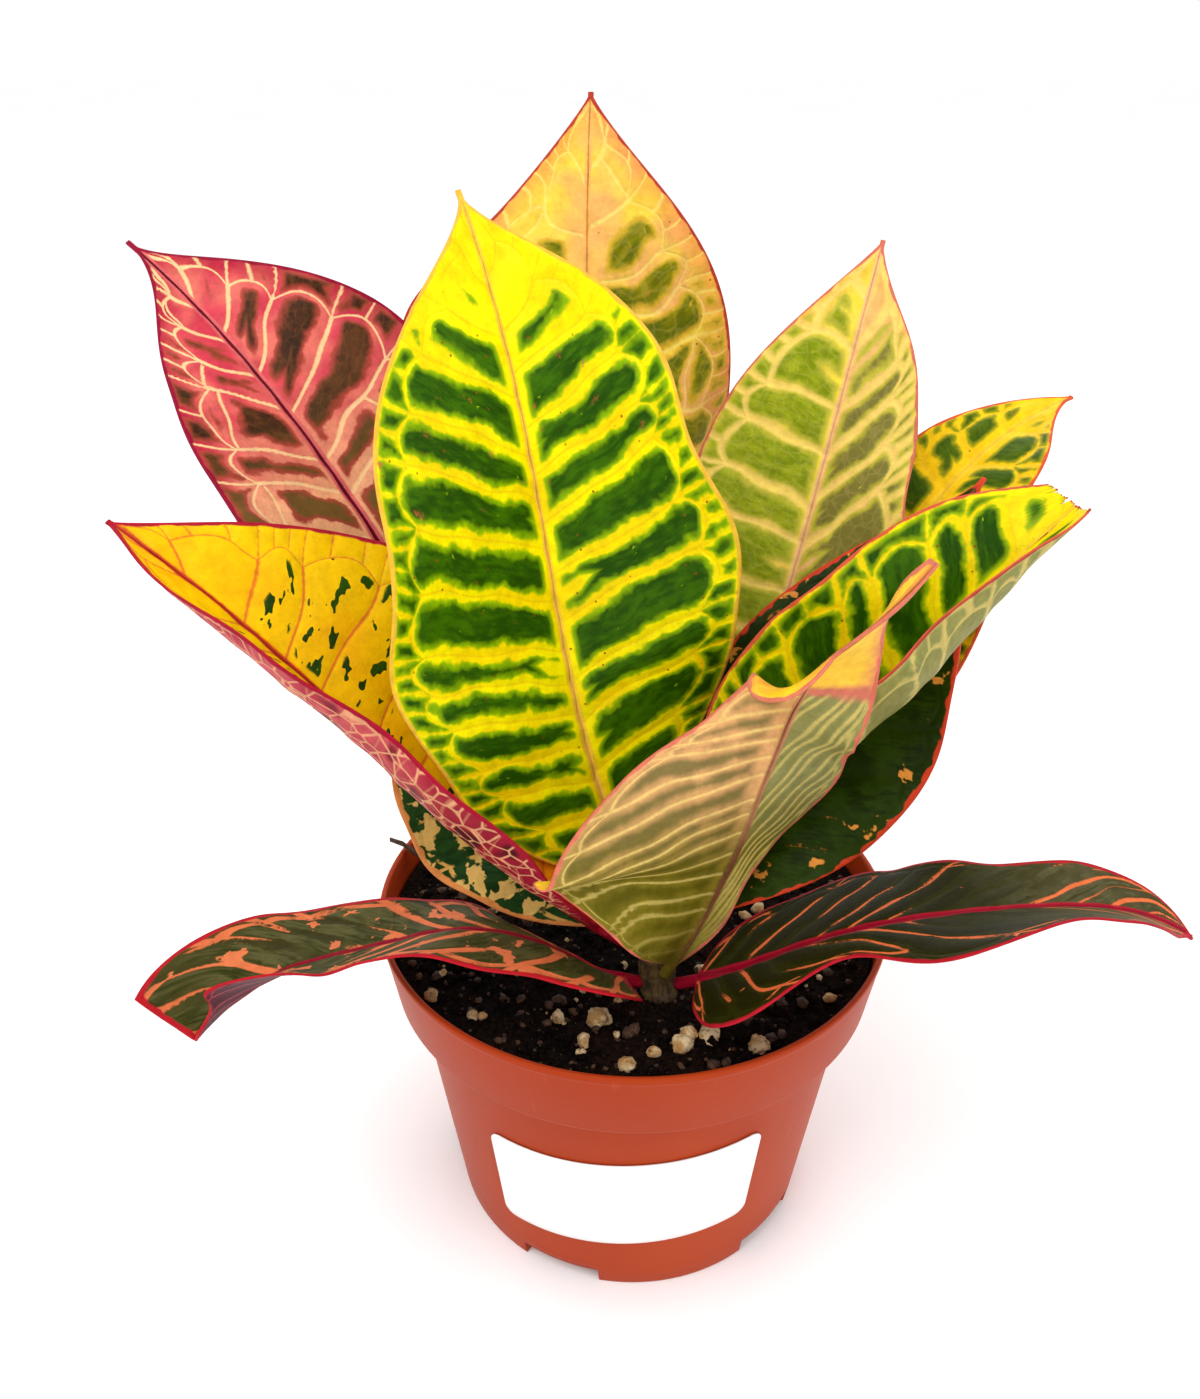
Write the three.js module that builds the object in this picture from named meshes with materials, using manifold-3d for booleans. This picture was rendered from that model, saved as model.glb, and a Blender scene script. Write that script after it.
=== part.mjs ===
// Potted croton: a young plant with twelve variegated leaves in a round plastic nursery pot.
// Millimetres and degrees, +Z up, origin on the pot's axis at the level that the pot stands on,
// label side facing -Y.
import * as THREE from "three";
import { mergeVertices } from "three/addons/utils/BufferGeometryUtils.js";
import Module from "manifold-3d";

const wasm = await Module();
wasm.setup();

const clearance = 0.3; // between pieces that touch

// Pot: tapered wall, deeper collar round the rim, notched foot, flat pad in the middle of the underside
const potHeight = 74;
const rimRadius = 53;
const collarFootRadius = 50.8;
const collarFootHeight = 58;
const wallTopRadius = 46.9;
const footRadius = 39.3;
const wallThickness = 1.3;
const footHeight = 4;
const footWidth = 2.4;
const padRadius = 22;
const notchCount = 5;
const notchAngle = 25;
const firstNotch = -23; // from the label side, anticlockwise seen from above
const potSides = 48;

// Label: a paper sticker wrapped round the front of the wall, higher at its right end
const labelThickness = 0.25;
const labelGap = 0.15;
const labelLeft = -40;
const labelRight = 33;
const labelMiddleHeight = 29.5;
const labelRise = 4.5; // from the left end to the right
const labelHeight = 27;
const labelCorner = 3.5; // in degrees round the pot
const labelColumns = 14;

// Soil
const soilLevel = 69;
const soilRelief = 0.9;
const soilSides = 36;

// Stem: it leans as it rises
const stemFoot = 40;
const stemTop = 93;
const stemSides = 12;
const scarHeight = 0.18;
const stemAxis = (height) => new THREE.Vector3(11.5 - 0.1 * height, -35.5 + 0.15 * height, height);
const stemRadius = (height) => 3.6 - 0.06 * Math.max(0, height - 70);

// Leaves. heading is the compass course of the midrib (anticlockwise from +X seen from above), rise its
// slope above the horizontal and roll the turn of the blade about it. left and right are half widths,
// seen from the stem with the upper face up. fold lifts a half about the midrib, curl bends it further
// towards its margin. A list gives values at equal steps from stalk to tip. outline is where the blade
// is widest, how blunt it starts and how sharply it ends; without it the widths are taken as they are.
// wave is the height and the number of the margin's waves.
const leaves = [
  {
    name: "leaf_01", colour: 0xb9c413, attach: 87.5, side: 125, stalk: 7, length: 125,
    heading: [151, 125, 125], rise: [62, 74, 55], roll: [-9, -9, -11],
    left: [39, 39, 39, 41, 39, 39, 43, 46, 51], right: [35, 35, 34, 34, 35, 33, 39, 47, 53],
    foldLeft: [-5, 25, 10], foldRight: [5, 30, 20], curlLeft: [-25, 10, 5], curlRight: [-5, 30, 10],
    outline: [0.95, 0.7, 1.5], wave: [0.8, 4],
  },
  {
    name: "leaf_02", colour: 0xd9a03c, attach: 84.5, side: 95, stalk: 9, length: 150,
    heading: [105, 100, 80], rise: [34, 69, 75], roll: [4, 6, -3],
    left: [36, 36, 36, 36, 36, 37, 44, 36, 33], right: [37, 37, 37, 37, 35, 37, 37, 39, 37],
    foldLeft: [10, 0, 5], foldRight: [10, -15, 10], curlRight: [-5, -25, 5], outline: [1.1, 0.75, 1.1],
    wave: [0.9, 3],
  },
  {
    name: "leaf_03", colour: 0xa8324a, attach: 84.5, side: 150, stalk: 9, length: 154,
    heading: [151, 147, 146], rise: [44, 50, 28], roll: [-12, -12, -25],
    left: [26, 26, 26, 27, 27, 25, 28, 29, 18], right: [35, 35, 35, 35, 35, 32, 38, 42, 47],
    foldLeft: [0, 15, 5], foldRight: 20, curlRight: [0, 10, 15], outline: [1.05, 0.95, 1.5],
    wave: [0.9, 4],
  },
  {
    name: "leaf_04", colour: 0xe0901c, attach: 78.5, side: 190, stalk: 10, length: 113,
    heading: [194, 173, 164], rise: [40, 48, 33], roll: [-16, -20, -15], left: [27, 30, 20, 27, 30],
    right: [31, 31, 33, 33, 34], foldLeft: [25, 30, 20], foldRight: [25, 30, 20], curlLeft: [40, 65, 25],
    outline: [1.0, 0.95, 1.1], wave: [0.6, 4],
  },
  {
    name: "leaf_05", colour: 0x93a83c, attach: 86.5, side: 62, stalk: 8, length: 133,
    heading: [56, 58, 56], rise: [26, 58, 65], roll: [14, 5, 13],
    left: [26, 26, 26, 26, 26, 26, 27, 28, 28], right: [20, 20, 20, 21, 25, 20, 21, 23, 15],
    foldLeft: [20, 15, 10], foldRight: [5, 15, 0], outline: [1.2, 1.0, 1.1], wave: [0.8, 4],
  },
  {
    name: "leaf_06", colour: 0xa9a51e, attach: 83, side: 42, stalk: 9, length: 136,
    heading: [51, 40, 30], rise: [20, 49, 10], roll: [4, 3, 13],
    left: [20, 20, 20, 20, 20, 20, 21, 26, 30], right: [26, 26, 26, 26, 26, 26, 24, 28, 14],
    foldLeft: [15, 5, 15], foldRight: [10, 5, 5], outline: [0.95, 1.0, 1.1], wave: [0.8, 4],
  },
  {
    name: "leaf_07", colour: 0x9fb31e, attach: 80, side: 5, stalk: 9, length: 99,
    heading: [14, 15, 12], rise: [49, 51, 42], roll: [-4, 24, 7], left: [26, 26, 26, 26, 32],
    right: [6, 14, 22, 27, 27, 32], foldLeft: [25, 40, 55, 20], foldRight: [60, 57, 43, 28, 20, 25],
    curlRight: [50, 67, 73, 80, 74, 10], outline: [0.9, 0.8, 0.9], tornAt: 0.94, wave: [0.5, 5],
  },
  {
    name: "leaf_08", colour: 0xa08a4a, attach: 75, side: 295, stalk: 4, length: 107,
    heading: [-31, 21, -26, -61, -85, -53, -26], rise: [67, 64, 76, 68, 54, 47, 63],
    roll: [-51, -76, -89, -45, -25, -27, -41, 25, 54, 63, 105],
    left: [1, 5, 6, 13, 14, 12, 11, 11, 9, 4, 1], right: [1, 25, 42, 38, 26, 13, 9, 8, 0, 0, 0],
    foldLeft: [-30, 2, -5, 2, -52, -24], foldRight: [-30, 12, -5], wave: [0.5, 4],
  },
  {
    name: "leaf_09", colour: 0x24471c, attach: 76.5, side: 25, stalk: 9, length: 98,
    heading: [31, 30, 27], rise: [45, 56, 49], roll: [20, 29, 6], left: 23, right: 22,
    foldLeft: [20, 15, 10], foldRight: [5, 5, 10], outline: [0.85, 1.1, 1.2], wave: [0.8, 4],
  },
  {
    name: "leaf_10", colour: 0x3b5a34, attach: 76, side: 145, stalk: 8, length: 75,
    heading: [137, 141, 154], rise: [25, 32, 35], roll: [-13, -12, 15], left: 23, right: 23,
    foldLeft: [15, 5, 10], foldRight: [15, 10, 10], outline: [0.85, 0.8, 1.2], wave: [0.8, 4],
  },
  {
    name: "leaf_11", colour: 0x414c2c, attach: 71.5, side: 191, stalk: 5, length: 88,
    heading: [202, 200, 187, 181, 179, 182, 198, 204, 248], rise: [26, 42, 32, 7, -16, -15, -8, -28, -10],
    roll: [2, 1, 0, -8, -5, -21], left: [9, 14, 12, 15, 13, 11, 16, 18, 3],
    right: [1, 2, 11, 16, 16, 16, 18, 17, 13], foldLeft: [7, 11, 7, 25, 28, 32, 56, 77],
    foldRight: [-14, -26, -18, -8, 9], curlLeft: [4, 5, -4, 3, 9, 10, 6, 11], curlRight: [5, -5, 1, 2, 7],
    wave: [0.5, 4],
  },
  {
    name: "leaf_12", colour: 0x3a4426, attach: 71, side: -10, stalk: 6, length: 103,
    heading: [-28, -24, -5, 14, 13], rise: [32, 40, 13, -13, -38], roll: [10, -1, -6, 1, 20],
    left: [18, 23, 16, 29], right: [26, 25, 10, 23, 20, 21, 21], foldLeft: [20, -5, 5, 25],
    foldRight: [5, 5, 30, 10], outline: [0.75, 0.65, 1.05], wave: [0.4, 4],
  },
];
const stalkRadius = 1.15;
const bladeHalfThickness = 0.35;
const leafRows = 17;
const stalkRows = 3;
const leafColumns = [0, 0.12, 0.38, 0.68, 1]; // from the midrib to the margin

const radians = THREE.MathUtils.degToRad;

// Value at u (0 to 1) on a smooth curve through equally spaced stations.
function along(values, u) {
  if (!Array.isArray(values)) return values ?? 0;
  const last = values.length - 1;
  const position = THREE.MathUtils.clamp(u, 0, 1) * last;
  const index = Math.min(Math.floor(position), last - 1);
  const t = position - index;
  const [b, c] = [values[index], values[index + 1]];
  const a = index > 0 ? values[index - 1] : 2 * b - c;
  const d = index < last - 1 ? values[index + 2] : 2 * c - b;
  const [slope, second, third] = [c - a, 2 * a - 5 * b + 4 * c - d, 3 * b - a - 3 * c + d];
  return 0.5 * (2 * b + slope * t + second * t ** 2 + third * t ** 3);
}

// A seeded draw between 0 and 1.
function seededDraw(seed) {
  let state = seed;
  return () => {
    state = (state * 1664525 + 1013904223) % 4294967296;
    return state / 4294967296;
  };
}

function solidFrom(geometry) {
  const bare = geometry.clone();
  bare.deleteAttribute("normal");
  bare.deleteAttribute("uv");
  const merged = mergeVertices(bare, 1e-4);
  return new wasm.Manifold(
    new wasm.Mesh({
      numProp: 3,
      vertProperties: new Float32Array(merged.attributes.position.array),
      triVerts: new Uint32Array(merged.index.array),
    }),
  );
}

function geometryFrom(points, triangles) {
  const geometry = new THREE.BufferGeometry();
  geometry.setAttribute("position", new THREE.Float32BufferAttribute(points.flatMap((p) => p.toArray()), 3));
  geometry.setIndex(triangles.flat());
  return geometry;
}

function meshFrom(solid, name, colour, roughness) {
  const { vertProperties, triVerts } = solid.getMesh();
  const geometry = new THREE.BufferGeometry();
  geometry.setAttribute("position", new THREE.Float32BufferAttribute(vertProperties, 3));
  geometry.setIndex([...triVerts]);
  geometry.computeVertexNormals();
  const material = new THREE.MeshStandardMaterial({ color: colour, roughness, metalness: 0 });
  const mesh = new THREE.Mesh(geometry, material);
  mesh.name = name;
  return mesh;
}

// Closed body through rings of equally many points, each end closed by a fan to its middle.
function loft(rings) {
  const count = rings[0].length;
  const middle = (ring) => ring.reduce((sum, p) => sum.add(p), new THREE.Vector3()).divideScalar(count);
  const points = [...rings.flat(), middle(rings[0]), middle(rings.at(-1))];
  const [firstMiddle, lastMiddle] = [points.length - 2, points.length - 1];
  const lastRing = (rings.length - 1) * count;
  const triangles = [];
  for (let side = 0; side < count; side++) {
    const next = (side + 1) % count;
    for (let ring = 0; ring < rings.length - 1; ring++) {
      const [a, b] = [ring * count + side, ring * count + next];
      triangles.push([a, b, b + count], [a, b + count, a + count]);
    }
    triangles.push([next, side, firstMiddle], [lastRing + side, lastRing + next, lastMiddle]);
  }
  return geometryFrom(points, triangles);
}

// Closed body between two grids of points with the same rows and columns, both split alike.
function sheet(upper, lower) {
  const [rows, columns] = [upper.length, upper[0].length];
  const points = [...upper.flat(), ...lower.flat()];
  const up = (row, column) => row * columns + column;
  const down = (row, column) => up(row, column) + rows * columns;
  const triangles = [];
  for (let row = 0; row < rows - 1; row++) {
    for (let column = 0; column < columns - 1; column++) {
      const corners = [[row, column], [row, column + 1], [row + 1, column + 1], [row + 1, column]];
      if (column >= (columns - 1) / 2) corners.push(corners.shift());
      const [a, b, c, d] = corners.map((at) => up(...at));
      const [e, f, g, h] = corners.map((at) => down(...at));
      triangles.push([a, b, c], [a, c, d], [e, g, f], [e, h, g]);
    }
    for (const [column, turn] of [[0, 0], [columns - 1, 1]]) {
      const edge = [up(row, column), up(row + 1, column), down(row + 1, column), down(row, column)];
      if (turn) edge.reverse();
      triangles.push([edge[0], edge[1], edge[2]], [edge[0], edge[2], edge[3]]);
    }
  }
  for (const [row, turn] of [[0, 1], [rows - 1, 0]]) {
    for (let column = 0; column < columns - 1; column++) {
      const edge = [up(row, column), up(row, column + 1), down(row, column + 1), down(row, column)];
      if (turn) edge.reverse();
      triangles.push([edge[0], edge[1], edge[2]], [edge[0], edge[2], edge[3]]);
    }
  }
  return geometryFrom(points, triangles);
}

// Midrib of a leaf: position and the directions forward, to the leaf's left and up from its upper face.
function midribOf(leaf) {
  const start = stemAxis(leaf.attach);
  const away = stemRadius(leaf.attach);
  start.x += away * Math.cos(radians(leaf.side));
  start.y += away * Math.sin(radians(leaf.side));
  const total = leaf.stalk + leaf.length;
  const steps = 240;
  const course = (u) => {
    const [heading, rise] = [radians(along(leaf.heading, u)), radians(along(leaf.rise, u))];
    const flat = new THREE.Vector3(Math.cos(heading), Math.sin(heading), 0);
    return flat.multiplyScalar(Math.cos(rise)).setZ(Math.sin(rise));
  };
  const places = [start];
  for (let step = 0; step < steps; step++)
    places.push(places.at(-1).clone().addScaledVector(course((step + 0.5) / steps), total / steps));
  return (distance) => {
    const u = distance / total;
    const heading = radians(along(leaf.heading, u));
    const forward = course(u);
    const level = new THREE.Vector3(-Math.sin(heading), Math.cos(heading), 0);
    const normal = new THREE.Vector3().crossVectors(forward, level);
    const roll = radians(along(leaf.roll, u));
    const left = level.clone().multiplyScalar(Math.cos(roll)).addScaledVector(normal, Math.sin(roll));
    const above = normal.clone().multiplyScalar(Math.cos(roll)).addScaledVector(level, -Math.sin(roll));
    return { place: places[Math.round(u * steps)], left, above };
  };
}

// Share of the full half width at a share b of the blade's length.
function outlineAt(leaf, b) {
  if (!leaf.outline) return 1;
  const [widest, blunt, sharp] = leaf.outline;
  const share = b * (leaf.tornAt ?? 1);
  return Math.max(0, Math.sin(Math.PI * share ** widest)) ** (blunt + (sharp - blunt) * share ** 2);
}

function leafSolid(leaf) {
  const midrib = midribOf(leaf);
  const slope = radians(along(leaf.rise, 0));
  // The stalk's end stands clear of the stem
  const freeFrom = (clearance + scarHeight + stalkRadius * Math.sin(slope)) / Math.cos(slope);
  const [upper, lower] = [[], []];
  for (let row = -stalkRows; row <= leafRows; row++) {
    const b = Math.max(0, row / leafRows);
    const beforeBlade = Math.max(0, -row / stalkRows) * (leaf.stalk - freeFrom);
    const { place, left, above } = midrib(leaf.stalk - beforeBlade + leaf.length * b);
    const rib = row <= 0 ? stalkRadius : stalkRadius * (1 - b) ** 0.7 + 0.2 * b;
    const roundness = THREE.MathUtils.clamp(1 - b * 15, 0, 1);
    const [top, bottom] = [[], []];
    for (const side of [1, -1]) {
      const [width, fold, curl] =
        side > 0 ? [leaf.left, leaf.foldLeft, leaf.curlLeft] : [leaf.right, leaf.foldRight, leaf.curlRight];
      const margin = Math.max(row <= 0 ? stalkRadius : 0.5, along(width, b) * outlineAt(leaf, b));
      const foldAngle = radians(along(fold, b));
      const curlAngle = radians(along(curl, b));
      for (const share of leafColumns.slice(side > 0 ? 0 : 1)) {
        const distance = share === leafColumns[1] ? Math.min(stalkRadius, margin / 2) : share * margin;
        const t = distance / margin;
        const bend = foldAngle + curlAngle * t;
        const halfTurn = (curlAngle * t) / 2;
        const chord = Math.abs(halfTurn) < 1e-6 ? distance : (distance * Math.sin(halfTurn)) / halfTurn;
        const [waveHeight, waveCount] = leaf.wave;
        const wave = waveHeight * t ** 2 * Math.sin(2 * Math.PI * waveCount * b + side) * (1 - b) * b * 4;
        const face = above.clone().multiplyScalar(Math.cos(bend));
        face.addScaledVector(left, -side * Math.sin(bend));
        if (share === 0) face.copy(above);
        const point = place.clone();
        point.addScaledVector(left, side * chord * Math.cos(foldAngle + halfTurn));
        point.addScaledVector(above, chord * Math.sin(foldAngle + halfTurn)).addScaledVector(face, wave);
        const round = Math.sqrt(Math.max(0, rib ** 2 - distance ** 2));
        const rise = Math.max(bladeHalfThickness, round * roundness);
        const drop = Math.max(bladeHalfThickness, round);
        const over = point.clone().addScaledVector(face, rise);
        const under = point.clone().addScaledVector(face, -drop);
        if (side > 0) {
          top.unshift(over);
          bottom.unshift(under);
        } else {
          top.push(over);
          bottom.push(under);
        }
      }
    }
    upper.push(top);
    lower.push(bottom);
  }
  return solidFrom(sheet(upper, lower));
}

function stemSolid(extra) {
  const heights = [stemFoot, 52, 62, 67, 70, 73, 76, 79, 82, 85, 88, 90.5, 92, stemTop];
  const rings = heights.map((height) => {
    const tip = Math.sqrt(Math.max(0.03, Math.min(1, (stemTop - height) / 5)));
    const foot = THREE.MathUtils.clamp((height - stemFoot) / 22, 0, 1);
    const scar = height > 68 && height < 90 ? scarHeight * (heights.indexOf(height) % 2) : 0;
    const radius = (stemRadius(height) * (0.6 + 0.4 * foot) + scar) * tip + extra;
    const beyond = height === stemTop ? extra : height === stemFoot ? -extra : 0;
    return ringAt(stemAxis(height + beyond), radius);
  });
  return solidFrom(loft(rings));
}

function ringAt(centre, radius) {
  return Array.from({ length: stemSides }, (_, side) => {
    const angle = (2 * Math.PI * side) / stemSides;
    return new THREE.Vector3(radius * Math.cos(angle), radius * Math.sin(angle), 0).add(centre);
  });
}

const wallRadiusAt = (height) => footRadius + ((wallTopRadius - footRadius) * height) / collarFootHeight;
const collarSlope = (rimRadius - collarFootRadius) / (potHeight - collarFootHeight);
const collarRadiusAt = (height) => collarFootRadius + collarSlope * (height - collarFootHeight);

const insideAt = (height) =>
  (height < collarFootHeight ? wallRadiusAt(height) : collarRadiusAt(height)) - wallThickness;

function potSolid() {
  const floorTop = footHeight + wallThickness;
  const profile = [
    [0, 0],
    [padRadius, 0],
    [padRadius + 1.5, footHeight],
    [footRadius - footWidth - 0.3, footHeight],
    [footRadius - footWidth, 0],
    [footRadius - 0.3, 0],
    [wallRadiusAt(0.6), 0.6],
    [wallRadiusAt(collarFootHeight - 0.4), collarFootHeight - 0.4],
    [collarFootRadius - 0.4, collarFootHeight],
    [collarRadiusAt(collarFootHeight + 0.5), collarFootHeight + 0.5],
    [collarRadiusAt(potHeight - 0.6), potHeight - 0.6],
    [rimRadius - 0.5, potHeight],
    [rimRadius - wallThickness + 0.3, potHeight],
    [insideAt(potHeight - 0.6), potHeight - 0.6],
    [insideAt(collarFootHeight + 1.8), collarFootHeight + 1.8],
    [insideAt(collarFootHeight - 1), collarFootHeight - 1],
    [insideAt(floorTop + 1), floorTop + 1],
    [insideAt(floorTop) - 1, floorTop],
    [padRadius, floorTop],
    [padRadius - 1.5, wallThickness],
    [0, wallThickness],
  ];
  const outline = profile.map(([radius, height]) => new THREE.Vector2(radius, height));
  let pot = solidFrom(new THREE.LatheGeometry(outline, potSides).rotateX(Math.PI / 2));
  const notchWidth = 2 * footRadius * Math.sin(radians(notchAngle / 2));
  for (let index = 0; index < notchCount; index++) {
    const angle = firstNotch + (360 / notchCount) * index;
    const cutter = new THREE.BoxGeometry(notchWidth, 8, 2 * footHeight)
      .translate(0, -footRadius, 0)
      .rotateZ(radians(angle));
    pot = pot.subtract(solidFrom(cutter));
  }
  return pot;
}

function labelSolid() {
  const columns = Array.from({ length: labelColumns + 1 }, (_, index) => {
    const spread = 0.5 - 0.5 * Math.cos((Math.PI * index) / labelColumns); // closer columns at both ends
    return labelLeft + (labelRight - labelLeft) * spread;
  });
  return solidFrom(
    loft(
      columns.map((angle) => {
        const fromEnd = Math.min(angle - labelLeft, labelRight - angle);
        const inCorner = THREE.MathUtils.clamp(1 - fromEnd / labelCorner, 0, 1);
        const rounded = 2.8 * (1 - Math.sqrt(1 - 0.98 * inCorner ** 2));
        const share = (angle - labelLeft) / (labelRight - labelLeft) - 0.5;
        const middle = labelMiddleHeight + labelRise * share;
        const reach = labelHeight / 2 - rounded;
        const at = (height, offset) => {
          const [radius, turn] = [wallRadiusAt(height) + offset, radians(angle)];
          return new THREE.Vector3(radius * Math.sin(turn), -radius * Math.cos(turn), height);
        };
        const outer = labelGap + labelThickness;
        const [low, high] = [middle - reach, middle + reach];
        return [at(low, outer), at(low, labelGap), at(high, labelGap), at(high, outer)];
      }),
    ),
  );
}

// Pale lumps that show on the soil: place and size.
const lumps = [
  [-14.9, -32.4, 2.2], [-7.1, -33.2, 2.9], [-2, -44.6, 1.9], [8.2, -40.4, 2.8], [9.6, -37.6, 2.4],
  [13.3, -37.6, 2.9], [22.3, -40.1, 2.7], [-31, -32.4, 1.7], [-39.5, -26.7, 2.2], [-10, -39.4, 1.9],
];
const scatteredLumps = 12;

function soilSolid(stemHole) {
  const draw = seededDraw(7);
  const top = soilLevel - 1.2;
  const wallAt = (height) => insideAt(height) - clearance;
  const floorTop = footHeight + wallThickness + clearance;
  const flatRings = [
    [padRadius - 2.2, wallThickness + clearance],
    [padRadius - 0.3, floorTop],
    [wallAt(floorTop) - 1.3, floorTop],
    [wallAt(collarFootHeight - 0.6), collarFootHeight - 0.6],
    [wallAt(collarFootHeight + 2.3), collarFootHeight + 2.3],
    [wallAt(top), top],
  ];
  const ring = (radius, height) =>
    Array.from({ length: soilSides }, (_, side) => {
      const angle = (2 * Math.PI * side) / soilSides;
      return new THREE.Vector3(radius * Math.cos(angle), radius * Math.sin(angle), height());
    });
  const rings = flatRings.map(([radius, height]) => ring(radius, () => height));
  for (const radius of [46.5, 40, 32, 24, 15, 6]) {
    const relief = soilRelief * Math.min(1, radius / 30);
    rings.push(ring(radius, () => soilLevel + relief * (2 * draw() - 1)));
  }
  const places = [...lumps];
  for (let index = 0; index < scatteredLumps; index++) {
    const [radius, angle] = [46 * Math.sqrt(draw()), 2 * Math.PI * draw()];
    places.push([radius * Math.cos(angle), radius * Math.sin(angle), 1.3 + draw()]);
  }
  const bodies = places.map(([x, y, size]) => {
    const lump = new THREE.IcosahedronGeometry(size, 0).scale(1, 0.75 + 0.3 * draw(), 0.7);
    return solidFrom(lump.rotateZ(6 * draw()).translate(x, y, soilLevel + 0.2 * size));
  });
  // A small twig that leans on the rim at the back left
  const twig = [[-40, 12, 67, 0.8], [-46, 13.5, 72, 0.7], [-50.5, 14.5, 75.4, 0.6], [-53.5, 15.5, 75.9, 0.5]];
  const twigRings = twig.map(([x, y, z, radius]) =>
    [0, 1, 2, 3, 4].map((corner) => {
      const angle = (2 * Math.PI * corner) / 5;
      return new THREE.Vector3(x, y + radius * Math.cos(angle), z + radius * Math.sin(angle));
    }),
  );
  bodies.push(solidFrom(loft(twigRings.reverse())));
  return wasm.Manifold.union([solidFrom(loft(rings)), ...bodies]).subtract(stemHole);
}

const part = new THREE.Group();
part.name = "potted_croton";
part.add(meshFrom(potSolid(), "pot", 0xb84c29, 0.45));
part.add(meshFrom(labelSolid(), "label", 0xf7f7f4, 0.6));
part.add(meshFrom(soilSolid(stemSolid(clearance)), "soil", 0x1d1511, 0.95));
part.add(meshFrom(stemSolid(0), "stem", 0x5c4a2c, 0.8));
for (const leaf of leaves)
  part.add(meshFrom(leafSolid(leaf), leaf.name, leaf.colour, 0.4));
export default part;
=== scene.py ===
"""Potted croton: twelve variegated leaves on a short stem, soil with pale lumps, and a plastic
nursery pot with a blank label. Lengths in the tables are millimetres, angles are degrees, and
meshes are made in metres, +Z up, with the label facing -Y."""

import math

import bmesh
import bpy
import numpy as np
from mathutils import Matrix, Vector, noise


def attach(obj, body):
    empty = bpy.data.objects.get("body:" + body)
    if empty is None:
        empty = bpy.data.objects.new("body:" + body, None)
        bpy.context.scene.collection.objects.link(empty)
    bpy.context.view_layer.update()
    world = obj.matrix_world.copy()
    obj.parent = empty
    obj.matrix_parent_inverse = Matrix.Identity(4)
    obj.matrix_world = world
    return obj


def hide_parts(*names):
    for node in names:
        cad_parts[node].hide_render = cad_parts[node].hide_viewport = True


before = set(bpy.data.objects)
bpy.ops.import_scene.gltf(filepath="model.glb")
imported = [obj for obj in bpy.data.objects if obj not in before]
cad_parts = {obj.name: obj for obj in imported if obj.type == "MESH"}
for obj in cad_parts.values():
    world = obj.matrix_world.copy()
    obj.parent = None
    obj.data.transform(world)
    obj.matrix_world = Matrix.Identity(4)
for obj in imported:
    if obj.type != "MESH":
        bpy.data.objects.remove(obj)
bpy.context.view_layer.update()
MM = 0.001

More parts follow.
